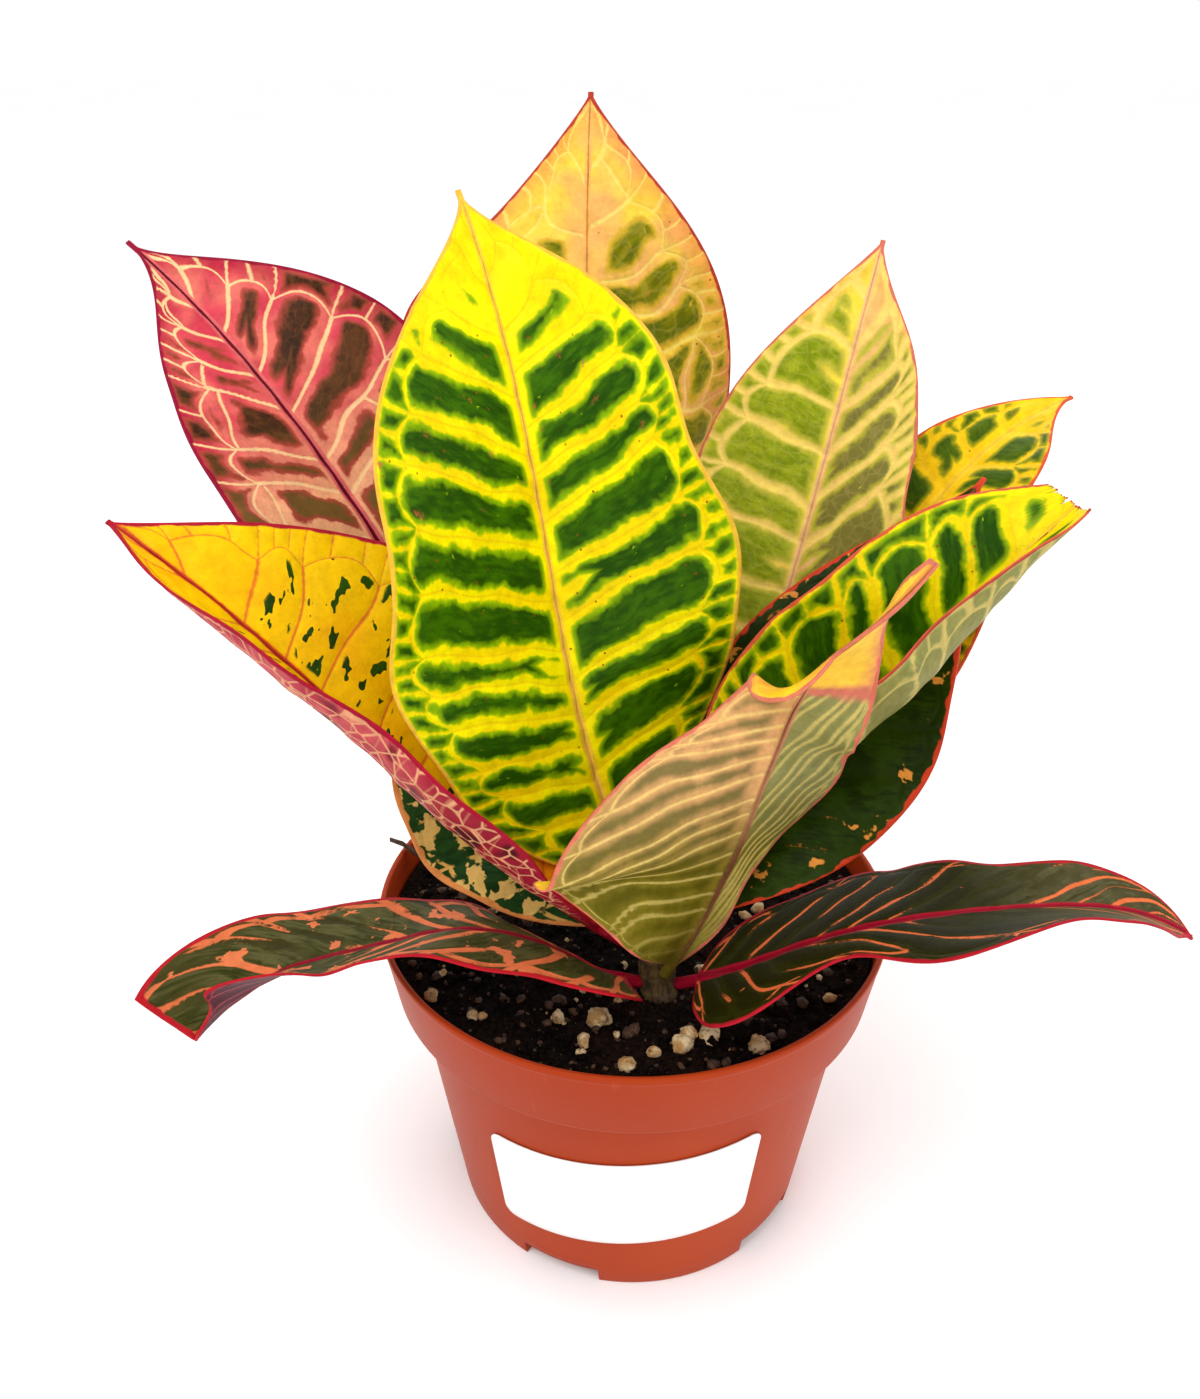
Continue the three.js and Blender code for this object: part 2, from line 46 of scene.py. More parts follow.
# Shapes. attach and side are where a stalk leaves the stem. heading is the course of the midrib seen
# from above, rise its slope and roll the blade's turn about it. left and right are half widths, fold
# lifts a half and curl bends it towards its margin. outline is where the blade is widest, how blunt
# it starts and how sharply it ends, and wave is the height and number of the margin's waves.
LEAVES = {
    "leaf_01": dict(
        attach=87.5, side=125, stalk=7, length=125, heading=[151, 125, 125], rise=[62, 74, 55],
        roll=[-9, -9, -11], left=[39, 39, 39, 41, 39, 39, 43, 46, 51],
        right=[35, 35, 34, 34, 35, 33, 39, 47, 53], fold_left=[-5, 25, 10], fold_right=[5, 30, 20],
        curl_left=[-25, 10, 5], curl_right=[-5, 30, 10], outline=[0.95, 0.7, 1.5], wave=[0.8, 4],
    ),
    "leaf_02": dict(
        attach=84.5, side=95, stalk=9, length=150, heading=[105, 100, 80], rise=[34, 69, 75],
        roll=[4, 6, -3], left=[36, 36, 36, 36, 36, 37, 44, 36, 33],
        right=[37, 37, 37, 37, 35, 37, 37, 39, 37], fold_left=[10, 0, 5], fold_right=[10, -15, 10],
        curl_right=[-5, -25, 5], outline=[1.1, 0.75, 1.1], wave=[0.9, 3],
    ),
    "leaf_03": dict(
        attach=84.5, side=150, stalk=9, length=154, heading=[151, 147, 146], rise=[44, 50, 28],
        roll=[-12, -12, -25], left=[26, 26, 26, 27, 27, 25, 28, 29, 18],
        right=[35, 35, 35, 35, 35, 32, 38, 42, 47], fold_left=[0, 15, 5], fold_right=20,
        curl_right=[0, 10, 15], outline=[1.05, 0.95, 1.5], wave=[0.9, 4],
    ),
    "leaf_04": dict(
        attach=78.5, side=190, stalk=10, length=113, heading=[194, 173, 164], rise=[40, 48, 33],
        roll=[-16, -20, -15], left=[27, 30, 20, 27, 30], right=[31, 31, 33, 33, 34],
        fold_left=[25, 30, 20], fold_right=[25, 30, 20], curl_left=[40, 65, 25],
        outline=[1.0, 0.95, 1.1], wave=[0.6, 4],
    ),
    "leaf_05": dict(
        attach=86.5, side=62, stalk=8, length=133, heading=[56, 58, 56], rise=[26, 58, 65],
        roll=[14, 5, 13], left=[26, 26, 26, 26, 26, 26, 27, 28, 28],
        right=[20, 20, 20, 21, 25, 20, 21, 23, 15], fold_left=[20, 15, 10], fold_right=[5, 15, 0],
        outline=[1.2, 1.0, 1.1], wave=[0.8, 4],
    ),
    "leaf_06": dict(
        attach=83, side=42, stalk=9, length=136, heading=[51, 40, 30], rise=[20, 49, 10],
        roll=[4, 3, 13], left=[20, 20, 20, 20, 20, 20, 21, 26, 30],
        right=[26, 26, 26, 26, 26, 26, 24, 28, 14], fold_left=[15, 5, 15], fold_right=[10, 5, 5],
        outline=[0.95, 1.0, 1.1], wave=[0.8, 4],
    ),
    "leaf_07": dict(
        attach=80, side=5, stalk=9, length=99, heading=[14, 15, 12], rise=[49, 51, 42],
        roll=[-4, 24, 7], left=[26, 26, 26, 26, 32], right=[6, 14, 22, 27, 27, 32],
        fold_left=[25, 40, 55, 20], fold_right=[60, 57, 43, 28, 20, 25],
        curl_right=[50, 67, 73, 80, 74, 10], outline=[0.9, 0.8, 0.9], torn_at=0.94, wave=[0.5, 5],
    ),
    "leaf_08": dict(
        attach=75, side=295, stalk=4, length=107, heading=[-31, 21, -26, -61, -85, -53, -26],
        rise=[67, 64, 76, 68, 54, 47, 63], roll=[-51, -76, -89, -45, -25, -27, -41, 25, 54, 63, 105],
        left=[1, 5, 6, 13, 14, 12, 11, 11, 9, 4, 1], right=[1, 25, 42, 38, 26, 13, 9, 8, 0, 0, 0],
        fold_left=[-30, 2, -5, 2, -52, -24], fold_right=[-30, 12, -5], wave=[0.5, 4],
    ),
    "leaf_09": dict(
        attach=76.5, side=25, stalk=9, length=98, heading=[31, 30, 27], rise=[45, 56, 49],
        roll=[20, 29, 6], left=23, right=22, fold_left=[20, 15, 10], fold_right=[5, 5, 10],
        outline=[0.85, 1.1, 1.2], wave=[0.8, 4],
    ),
    "leaf_10": dict(
        attach=76, side=145, stalk=8, length=75, heading=[137, 141, 154], rise=[25, 32, 35],
        roll=[-13, -12, 15], left=23, right=23, fold_left=[15, 5, 10], fold_right=[15, 10, 10],
        outline=[0.85, 0.8, 1.2], wave=[0.8, 4],
    ),
    "leaf_11": dict(
        attach=71.5, side=191, stalk=5, length=88,
        heading=[202, 200, 187, 181, 179, 182, 198, 204, 248],
        rise=[26, 42, 32, 7, -16, -15, -8, -28, -10], roll=[2, 1, 0, -8, -5, -21],
        left=[9, 14, 12, 15, 13, 11, 16, 18, 3], right=[1, 2, 11, 16, 16, 16, 18, 17, 13],
        fold_left=[7, 11, 7, 25, 28, 32, 56, 77], fold_right=[-14, -26, -18, -8, 9],
        curl_left=[4, 5, -4, 3, 9, 10, 6, 11], curl_right=[5, -5, 1, 2, 7], wave=[0.5, 4],
    ),
    "leaf_12": dict(
        attach=71, side=-10, stalk=6, length=103, heading=[-28, -24, -5, 14, 13],
        rise=[32, 40, 13, -13, -38], roll=[10, -1, -6, 1, 20], left=[18, 23, 16, 29],
        right=[26, 25, 10, 23, 20, 21, 21], fold_left=[20, -5, 5, 25], fold_right=[5, 5, 30, 10],
        outline=[0.75, 0.65, 1.05], wave=[0.4, 4],
    ),
}
STALK_RADIUS = 1.15
STALK_ROWS = 10
BLADE_HALF_THICKNESS = 0.3
GRID = 0.85  # mesh step on the blades
MIDRIB_STEPS = 240
HALF_NAMES = {1: "left", -1: "right"}


def stem_axis(height):
    return np.array([11.5 - 0.1 * height, -35.5 + 0.15 * height, height])


def stem_radius(height):
    return 3.6 - 0.06 * max(0, height - 70)


def along(values, u):
    """Value at u (0 to 1) on a smooth curve through equally spaced stations."""
    u = np.asarray(u, float)
    if np.isscalar(values):
        return np.full(u.shape, float(values))
    padded = np.array([2 * values[0] - values[1], *values, 2 * values[-1] - values[-2]], float)
    position = np.clip(u, 0, 1) * (len(values) - 1)
    index = np.minimum(position.astype(int), len(values) - 2)
    t = position - index
    a, b, c, d = (padded[index + step] for step in range(4))
    slope, second, third = c - a, 2 * a - 5 * b + 4 * c - d, 3 * b - a - 3 * c + d
    return 0.5 * (2 * b + slope * t + second * t**2 + third * t**3)


def smooth(low, high, x):
    t = np.clip((x - low) / (high - low), 0, 1)
    return t * t * (3 - 2 * t)


def nearest(*distances, softness=0.5):
    """The least of several distances, rounded where two of them are alike."""
    stack = np.stack(np.broadcast_arrays(*distances))
    least = stack.min(0)
    return least - softness * np.log(np.exp(-(stack - least) / softness).sum(0))


def ripple(x, seed, octaves=3):
    """Seeded smooth noise of one variable, between about -1 and 1."""
    draw = np.random.default_rng(seed)
    total = np.zeros(np.shape(x))
    for octave in range(octaves):
        rate = 2.0**octave * draw.uniform(0.8, 1.2)
        total += np.sin(2 * np.pi * (rate * x + draw.uniform())) / 2**octave
    return total / 1.75


def sway(x, y, size, seed):
    """Seeded smooth noise of a place, between about -1 and 1, with swells about size mm wide."""
    draw = np.random.default_rng(seed)
    total = np.zeros(np.shape(x))
    for _ in range(7):
        turn, phase = draw.uniform(0, 2 * np.pi, 2)
        rate = 2 * np.pi / size * draw.uniform(0.5, 1.5)
        total += np.sin(rate * (x * np.cos(turn) + y * np.sin(turn)) + phase)
    return total / 3.5


def sided(values, key, side, default=None):
    """What a shape or a look gives for one half, or else for both halves."""
    return values.get(f"{key}_{HALF_NAMES[side]}", values.get(key, default))


def pick(rows, index):
    """The entry of each row that index names."""
    return np.take_along_axis(rows, np.clip(index, 0, rows.shape[-1] - 1)[..., None], -1)[..., 0]


class Blade:
    """One leaf's midrib and the surface it carries."""

    def __init__(self, shape, seed):
        self.shape = shape
        self.seed = seed
        self.total = shape["stalk"] + shape["length"]
        u = (np.arange(MIDRIB_STEPS) + 0.5) / MIDRIB_STEPS
        turn = math.radians(shape["side"])
        start = stem_axis(shape["attach"])
        start += stem_radius(shape["attach"]) * np.array([math.cos(turn), math.sin(turn), 0])
        path = np.cumsum(self.course(u) * self.total / MIDRIB_STEPS, axis=0)
        self.places = np.vstack([start, start + path])

    def course(self, u):
        heading = np.radians(along(self.shape["heading"], u))
        rise = np.radians(along(self.shape["rise"], u))
        level = np.stack([np.cos(heading), np.sin(heading), 0 * heading], -1)
        return level * np.cos(rise)[..., None] + np.stack([0 * rise, 0 * rise, np.sin(rise)], -1)

    def frames(self, u):
        """Place, leaf's left and upward normal at shares u of the midrib."""
        station = np.clip(u, 0, 1) * (len(self.places) - 1)
        ticks = np.arange(len(self.places))
        place = np.stack([np.interp(station, ticks, self.places[:, k]) for k in range(3)], -1)
        heading = np.radians(along(self.shape["heading"], u))
        level = np.stack([-np.sin(heading), np.cos(heading), 0 * heading], -1)
        normal = np.cross(self.course(u), level)
        roll = np.radians(along(self.shape["roll"], u))[..., None]
        left = level * np.cos(roll) + normal * np.sin(roll)
        return place, left, normal * np.cos(roll) - level * np.sin(roll)

    def half_width(self, b, side):
        width = along(self.shape[HALF_NAMES[side]], b)
        if "outline" in self.shape:
            widest, blunt, sharp = self.shape["outline"]
            share = b * self.shape.get("torn_at", 1)
            taper = blunt + (sharp - blunt) * share**2
            width = width * np.clip(np.sin(np.pi * share**widest), 0, 1) ** taper
        return np.maximum(width, 0.5)

    def surface(self, b, across, side):
        """Points and normals of the middle surface at shares b of the blade, across of a half."""
        shape = self.shape
        place, left, above = self.frames((shape["stalk"] + b * shape["length"]) / self.total)
        fold = np.radians(along(sided(shape, "fold", side, 0), b))
        curl = np.radians(along(sided(shape, "curl", side, 0), b))
        half_turn = curl * across / 2
        chord = across * self.half_width(b, side) * np.sinc(half_turn / np.pi)
        bend = fold + curl * across
        height, count = shape["wave"]
        inland = np.clip(b * (1 - b) * 4, 0, 1)
        wave = height * across**2 * np.sin(2 * np.pi * count * b + side) * (1 - b) * b * 4
        wave += 0.25 * across**3 * ripple(4 * b, self.seed + side, 2) * np.sqrt(inland)
        face = above * np.cos(bend)[..., None] - left * (side * np.sin(bend))[..., None]
        point = place + left * (side * chord * np.cos(fold + half_turn))[..., None]
        point += above * (chord * np.sin(fold + half_turn))[..., None] + face * wave[..., None]
        return point, face


def vein_field(blade, b, across, side, look):
    """Where each point of a half lies among the veins. phase is whole on a side vein and cell is
    whole on a wall between two rim cells, pitch and cell_pitch are their steps in mm, loop and
    cross are distances in mm from the arches near the rim and from a cross vein, number is drawn
    for each patch, and line is the distance to the nearest of all these veins."""
    swell, rim_swell = 17, 12  # breadth of the swells that sway the veins
    full_width = 16  # half width that has rim cells of full depth
    seed = 100 * blade.seed + (1 if side > 0 else 2)
    draw = np.random.default_rng(seed)
    length, width = blade.shape["length"], blade.half_width(b, side)
    x, y = side * across * width, b * length
    moved = b + look["sway"] * sway(x, y, swell, seed) / length
    shift = 0.7 * sway(x, y, rim_swell, seed + 1) * across * (1 - across) / width * 4
    out = np.clip(across + shift, 0, 1)
    starts = look.get("veins_" + HALF_NAMES[side])
    if starts is None:
        step = sided(look, "spacing", side) / length
        starts = np.arange(-0.3, 1, step)
        starts = starts + step * 0.2 * draw.uniform(-1, 1, len(starts))
    starts = np.asarray(starts)
    lean = np.interp(starts, np.linspace(0, 1, 4), sided(look, "lean", side))
    lean = lean + look["lean_vary"] * draw.uniform(-1, 1, len(starts))
    bow = look["bow"]
    paths = starts + lean * np.maximum(out, 0.02)[..., None] ** bow
    slant = lean * bow * np.maximum(out, 0.05)[..., None] ** (bow - 1) * length / width[..., None]
    strip = (moved[..., None] > paths).sum(-1)
    gap = 1.2 * (starts[-1] - starts[0]) / (len(starts) - 1)
    low = np.where(strip > 0, pick(paths, strip - 1), paths[..., 0] - gap)
    high = np.where(strip < len(starts), pick(paths, strip), paths[..., -1] + gap)
    share = np.clip((moved - low) / np.maximum(high - low, 1e-3), 0, 1)
    pitch = (high - low) * length / np.sqrt(1 + pick(slant, strip) ** 2)
    strips = len(starts) + 1
    counts = draw.integers(*look["rim_count"], strips)
    first = np.concatenate([[0], np.cumsum(counts)[:-1]])
    cell = first[strip] + share * counts[strip]
    cell_pitch = pitch / counts[strip]
    arch = look["rim_cells"] * np.minimum(1, width / full_width) * (1.2 - 0.5 * np.sin(np.pi * share))
    loop = (1 - out) * width - arch
    crossed = draw.uniform(0, 1, strips) < look["crossings"]
    where = np.where(crossed, draw.uniform(0.35, 0.7, strips), 3)
    tilt = draw.uniform(-0.5, 0.5, strips)
    cross = (out - where[strip]) * width + tilt[strip] * (share - 0.5) * pitch
    lateral = np.abs(share - np.round(share)) * pitch
    wall = np.abs(cell - np.round(cell)) * cell_pitch
    inner = nearest(lateral, np.abs(cross), np.abs(loop))
    outer = nearest(wall, np.abs(loop), (1 - across) * width + 0.6)
    patch = strip * 5 + np.where(loop < 0, 2 + np.floor(cell) % 3, cross > 0)
    numbers = np.random.default_rng(blade.seed).uniform(0, 1, 400)
    return dict(
        phase=strip + share, pitch=pitch, loop=loop, cell=cell, cell_pitch=cell_pitch, cross=cross,
        number=numbers[patch.astype(int) % len(numbers)], line=np.where(loop < 0, outer, inner),
    )


def add_mesh(name, points, faces, materials, picks=None, values=None):
    """Smooth mesh object from points in mm, each face's material, and values for each point."""
    mesh = bpy.data.meshes.new(name)
    mesh.from_pydata((np.asarray(points) * MM).tolist(), [], [list(map(int, face)) for face in faces])
    for material in materials:
        mesh.materials.append(material)
    if picks is not None:
        mesh.polygons.foreach_set("material_index", np.asarray(picks, np.int32))
    for key, data in (values or {}).items():
        data = np.asarray(data, np.float32)
        kind, word = ("FLOAT", "value") if data.ndim == 1 else ("FLOAT_VECTOR", "vector")
        mesh.attributes.new(key, kind, "POINT").data.foreach_set(word, data.ravel())
    mesh.polygons.foreach_set("use_smooth", [True] * len(mesh.polygons))
    mesh.update()
    made = bpy.data.objects.new(name, mesh)
    bpy.context.scene.collection.objects.link(made)
    return made


def grid_faces(index):
    """Faces of a grid, from its point numbers by row and column."""
    return np.stack([index[:-1, :-1], index[:-1, 1:], index[1:, 1:], index[1:, :-1]], -1).reshape(-1, 4)


def tube_faces(index):
    """Faces of a closed tube, from its point numbers by ring and place on the ring."""
    after = np.roll(index, -1, 1)
    walls = np.stack([index[:-1], after[:-1], after[1:], index[1:]], -1).reshape(-1, 4)
    return [*walls, index[0][::-1], index[-1]]


def half_leaf(blade, rows, columns, side, look):
    """Both faces of one half, and what its materials read, by row and column. A row is a share of
    the blade, below 0 on the stalk, and a column is a share of the half width."""
    shape, seed = blade.shape, blade.seed
    b, across = np.meshgrid(rows, columns, indexing="ij")
    blade_b = np.clip(b, 0, 1)
    if "torn_at" in shape:
        jag = 0.018 * ripple(3.1 * across + side, seed + 5) + 0.012 * ripple(11 * across, seed + 6)
        blade_b = np.clip(blade_b * (1 - np.abs(jag) * smooth(0.8, 1, blade_b)), 0, 1)
    width = blade.half_width(blade_b, side)
    point, face = blade.surface(blade_b, across, side)
    on_stalk = b < 0
    place, left, above = blade.frames((shape["stalk"] + b * shape["length"]) / blade.total)
    beside = across * STALK_RADIUS
    point = np.where(on_stalk[..., None], place + left * (side * beside)[..., None], point)
    face = np.where(on_stalk[..., None], above, face)
    distance = np.where(on_stalk, beside, across * width)
    rib = np.where(on_stalk, STALK_RADIUS, STALK_RADIUS * (1 - blade_b) ** 0.7 + 0.15 * blade_b)
    round_part = np.sqrt(np.clip(rib**2 - distance**2, 0, None))
    field = vein_field(blade, blade_b, across, side, look)
    quilt = look["quilt"] * smooth(0, 3.2, field["line"]) * smooth(0, 4, blade_b * shape["length"])
    quilt = quilt * (1 - smooth(0.9, 1, across))
    groove = 0.45 * np.exp(-((distance / 0.8) ** 2)) * smooth(0.02, 0.1, blade_b) * (1 - blade_b)
    thin = BLADE_HALF_THICKNESS - 0.12 * smooth(0.85, 1, across)
    upper = np.maximum(thin, round_part * np.clip(1 - b * 12, 0, 1)) + quilt - groove
    lower = np.maximum(thin, round_part) - quilt * 0.8
    return dict(
        field, over=point + face * upper[..., None], under=point - face * lower[..., None],
        rib=distance, rim=np.minimum((1 - across) * width, (1 - blade_b) * shape["length"]),
        span=b * shape["length"], half=np.full(b.shape, float(side)),
    )


def make_leaf(name, shape, look, seed, materials):
    blade = Blade(shape, seed)
    widest = max(np.max(shape["left"]), np.max(shape["right"]))
    columns = np.linspace(0, 1, max(10, int(widest / GRID)) + 1)
    stalk_rows = np.linspace(-shape["stalk"] / shape["length"], 0, STALK_ROWS, endpoint=False)
    rows = np.concatenate([stalk_rows, np.linspace(0, 1, int(shape["length"] / GRID))])
    left, right = (half_leaf(blade, rows, columns, side, look) for side in (1, -1))
    whole = {key: np.concatenate([left[key][:, ::-1], right[key][:, 1:]], 1) for key in left}
    index = np.arange(whole["rib"].size).reshape(whole["rib"].shape)
    top = grid_faces(index)
    border = np.concatenate([index[0, :-1], index[:-1, -1], index[-1, :0:-1], index[:0:-1, 0]])
    following = np.roll(border, -1)
    rim = np.stack([following, border, border + index.size, following + index.size], -1)
    faces = np.concatenate([top, (top + index.size)[:, ::-1], rim])
    picks = np.repeat([0, 1, 0], [len(top), len(top), len(rim)])
    whole["side"] = whole["rib"] * whole["half"]
    whole["layer"] = np.full(index.shape, 37.0 * seed)
    groups = dict(
        veins=["phase", "pitch", "loop"], cells=["cell", "cell_pitch", "cross"],
        sides=["rib", "rim", "span"], spot=["side", "span", "layer"], number=["number"], half=["half"],
    )
    values = {}
    for group, keys in groups.items():
        stack = np.stack([whole[key].ravel() for key in keys], -1)
        values[group] = np.tile(stack, (2, 1)).squeeze()
    points = np.concatenate([whole["over"].reshape(-1, 3), whole["under"].reshape(-1, 3)])
    return add_mesh(name + "_look", points, faces, materials, picks, values)


def linear(colour):
    """Linear colour from a screen colour such as #ff8000."""
    shares = [int(colour[k : k + 2], 16) / 255 for k in (1, 3, 5)]
    return tuple(v / 12.92 if v <= 0.04045 else ((v + 0.055) / 1.055) ** 2.4 for v in shares) + (1.0,)


class Signal:
    """A number or colour that a material works out, with plain arithmetic."""

    def __init__(self, paint, socket):
        self.paint = paint
        self.socket = socket

    def math(self, operation, other=0.0, softness=0.0):
        return self.paint.signal("Math", {0: self, 1: other, 2: softness}, operation=operation)

    def __add__(self, other):
        return self.math("ADD", other)

    def __sub__(self, other):
        return self.math("SUBTRACT", other)

    def __mul__(self, other):
        return self.math("MULTIPLY", other)

    def least(self, other, softness):
        """The smaller of two signals, rounded where they are alike."""
        return self.math("SMOOTH_MIN", other, softness)

    def between(self, other, share):
        """This signal where share is 0 and the other where it is 1."""
        return self.paint.signal("Mix", {0: share, 2: self, 3: other}, data_type="FLOAT")

    def step(self, low, high):
        """0 below low, 1 above high, smooth between; the other way round if low is above high."""
        start, end = (1.0, 0.0) if low > high else (0.0, 1.0)
        inputs = {"Value": self, "From Min": min(low, high), "From Max": max(low, high)}
        inputs.update({"To Min": start, "To Max": end})
        return self.paint.signal("MapRange", inputs, interpolation_type="SMOOTHSTEP")


class Paint:
    """A material made of nodes."""

    def __init__(self, name):
        self.material = bpy.data.materials.new(name)
        self.material.use_nodes = True
        self.tree = self.material.node_tree
        self.tree.nodes.clear()

    def node(self, kind, inputs=None, **settings):
        """A node with its settings, and its inputs linked to a signal or set to a value."""
        made = self.tree.nodes.new("ShaderNode" + kind)
        for key, value in settings.items():
            setattr(made, key, value)
        for key, value in (inputs or {}).items():
            if isinstance(value, Signal):
                self.tree.links.new(value.socket, made.inputs[key])
            else:
                made.inputs[key].default_value = linear(value) if isinstance(value, str) else value
        return made

    def signal(self, kind, inputs=None, output=0, **settings):
        return Signal(self, self.node(kind, inputs, **settings).outputs[output])

    def stored(self, name, output):
        """What the mesh stores under a name, as a number (Fac) or as three (Vector)."""
        return self.signal("Attribute", {}, output, attribute_type="GEOMETRY", attribute_name=name)

    def split(self, name):
        """The three numbers stored on the mesh under one name."""
        made = self.node("SeparateXYZ", {0: self.stored(name, "Vector")})
        return [Signal(self, output) for output in made.outputs]

    def joined(self, x, y, z):
        return self.signal("CombineXYZ", {0: x, 1: y, 2: z})

    def place(self, x=1.0, y=1.0, z=1.0):
        """The object's own coordinates in metres, each times a factor."""
        place = self.signal("TexCoord", {}, "Object")
        return self.signal("VectorMath", {0: place, 1: (x, y, z)}, operation="MULTIPLY")

    def noise(self, place, scale, detail=2.0, roughness=0.5, distortion=0.0):
        inputs = {"Vector": place, "Scale": scale, "Detail": detail}
        inputs.update({"Roughness": roughness, "Distortion": distortion})
        return self.signal("TexNoise", inputs, "Fac")

    def cells(self, place, scale, feature="DISTANCE_TO_EDGE"):
        """Distance from the nearest wall between random cells, or with F1 from a cell's middle."""
        return self.signal("TexVoronoi", {"Vector": place, "Scale": scale}, "Distance", feature=feature)

    def mix(self, first, second, share):
        return self.signal("Mix", {0: share, 6: first, 7: second}, 2, data_type="RGBA")

    def finish(self, colour, roughness, gloss, height=None, depth=0.0, glow=0.0):
        """The material: height raises its surface by up to depth metres, glow lets light through."""
        inputs = {"Base Color": colour, "Roughness": roughness, "Specular IOR Level": gloss}
        if height is not None:
            inputs["Normal"] = self.signal("Bump", {"Height": height, "Distance": depth, "Strength": 1.0})
        surface = self.signal("BsdfPrincipled", inputs)
        if glow:
            through = self.signal("BsdfTranslucent", {"Color": colour})
            surface = self.signal("MixShader", {0: glow, 1: surface, 2: through})
        self.node("OutputMaterial", {0: surface})
        return self.material


class LeafPaint(Paint):
    """Material of one face of a leaf, from its look and from what its mesh stores."""

    def __init__(self, name, look):
        super().__init__(name)
        self.look = look
        self.spot = self.stored("spot", "Vector")
        self.phase, self.pitch, loop = self.split("veins")
        cell, cell_pitch, cross = self.split("cells")
        self.rib, self.rim, self.span = self.split("sides")
        self.number = self.stored("number", "Fac")
        self.half = self.stored("half", "Fac")
        self.warp = self.noise(self.spot, 0.3) - 0.5
        self.fine = self.noise(self.spot, 1.3, 3, 0.6) - 0.5
        self.broad = self.noise(self.spot, 0.09)
        self.lateral = self.phase.math("PINGPONG", 0.5) * self.pitch
        self.wall = cell.math("PINGPONG", 0.5) * cell_pitch
        self.arch = loop.math("ABSOLUTE")
        self.cross = cross.math("ABSOLUTE")
        self.inside = loop.step(-0.1, 0.1)
        inner = self.lateral.math("MINIMUM", self.arch + 0.1).math("MINIMUM", self.cross + 0.1)
        outer = (self.wall + 0.15).math("MINIMUM", self.arch + 0.1)
        self.vein = outer.between(inner, self.inside)

    def lay(self, tone, share):
        self.colour = self.mix(self.colour, tone, share)

    def streaks(self, rate, breadth, layer, detail=2, roughness=0.5, wander=0.0):
        """Noise that follows the side veins: rate is swells to a strip, breadth swells to a mm."""
        place = self.joined(self.phase * rate + self.fine * wander, self.rib * breadth, layer)
        return self.noise(place, 1.0, detail, roughness)

    def depth(self):
        """How far a place lies in from the veins, the rib and the rim, where patches can be."""
        look, soft, low = self.look, self.look["soft"], self.look["edge"][0]
        inner = self.lateral.least(self.arch + 0.6, soft).least(self.cross, soft)
        outer = self.wall.least(self.arch, soft * 0.7) + look["rim_lift"]
        uneven = self.noise(self.spot, 0.15, 3, 0.55) - 0.5
        depth = outer.between(inner, self.inside) + uneven * 2.6
        depth = depth + self.warp * look["ragged"] + self.fine * 0.45
        depth = depth.least(self.rib + self.warp * 0.8 - look["rib"] + low, soft)
        depth = depth.least(self.rim + self.warp * 1.2 - look["bare_rim"] + low, soft * 0.6)
        if "split" in look:
            outward = self.rib - (self.number * 4.0 - 2.8) * look["split"]
            branch = (self.phase + 0.5).math("PINGPONG", 0.5) * self.pitch
            depth = depth.least(branch + outward.math("MAXIMUM") * 0.5, soft * 0.6)
        if "gaps" in look:
            level = look["gaps"]
            missing = (self.number + (self.broad - 0.5) * 0.6).step(level + 0.06, level - 0.06)
            depth = depth - missing * 6.0
        if "tip" in look:
            start, stop, loss = look["tip"]
            depth = depth - (self.span + self.warp * 5.0).step(start, stop) * loss
        if "flecks" in look:
            level = look["flecks"]
            depth = depth - self.streaks(3.6, 0.22, 3.0).step(level + 0.03, level) * 6.0
        return depth

    def lay_ground(self):
        """The ground and the patches on it."""
        look, depth = self.look, self.depth()
        low, high = look["edge"]
        grain = self.streaks(7.0, 0.25, 1.0, 3, 0.6) * 0.6 + self.broad * 0.4
        dark = self.mix(*look["patch"], grain.step(0.38, 0.6))
        pale = self.mix(*look["ground"], self.broad.step(0.38, 0.62))
        if "right" in look:
            on_right = (self.half + self.warp * 0.4).step(0.1, -0.1)
            dark = self.mix(dark, look["right"][0], on_right)
            pale = self.mix(pale, look["right"][1], on_right)
        if "lower" in look:
            end, low_dark, low_pale = look["lower"]
            lower = (self.span + self.warp * 12.0).step(end + 14.0, end - 14.0)
            dark = self.mix(dark, low_dark, lower)
            pale = self.mix(pale, low_pale, lower)
        if "blush" in look:
            tone, breadth, share = look["blush"]
            pale = self.mix(pale, tone, (self.rim + self.warp * 4.0).step(breadth, 0.0) * share)
        if "halo" in look:
            pale = self.mix(pale, look["halo"], depth.step(low - look["reach"], low + 0.2))
        whole = self.streaks(6.0, 0.4, 2.0, 3, 0.6, 1.0).step(look["chips"] + 0.06, look["chips"])
        self.colour = self.mix(pale, dark, depth.step(low, high) * whole)

    def lay_lines(self):
        """The fine net and the coloured veins."""
        look = self.look
        if "net" in look:
            tone, scale, share = look["net"]
            self.lay(tone, self.cells(self.spot, scale).step(0.09, 0.02) * share)
        width = look["line_width"]
        lines = (self.vein + self.fine * 0.35).step(width + look["line_soft"], width)
        if "broken" in look:
            patchy = self.streaks(0.9, 0.07, 0.0) + self.fine * 0.12
            lines = lines * patchy.step(look["broken"], look["broken"] + 0.04)
        if "line_from" in look:
            lines = lines * self.span.step(look["line_from"] - 12.0, look["line_from"] + 12.0)
        self.lay(look["line"], lines * look["line_share"])

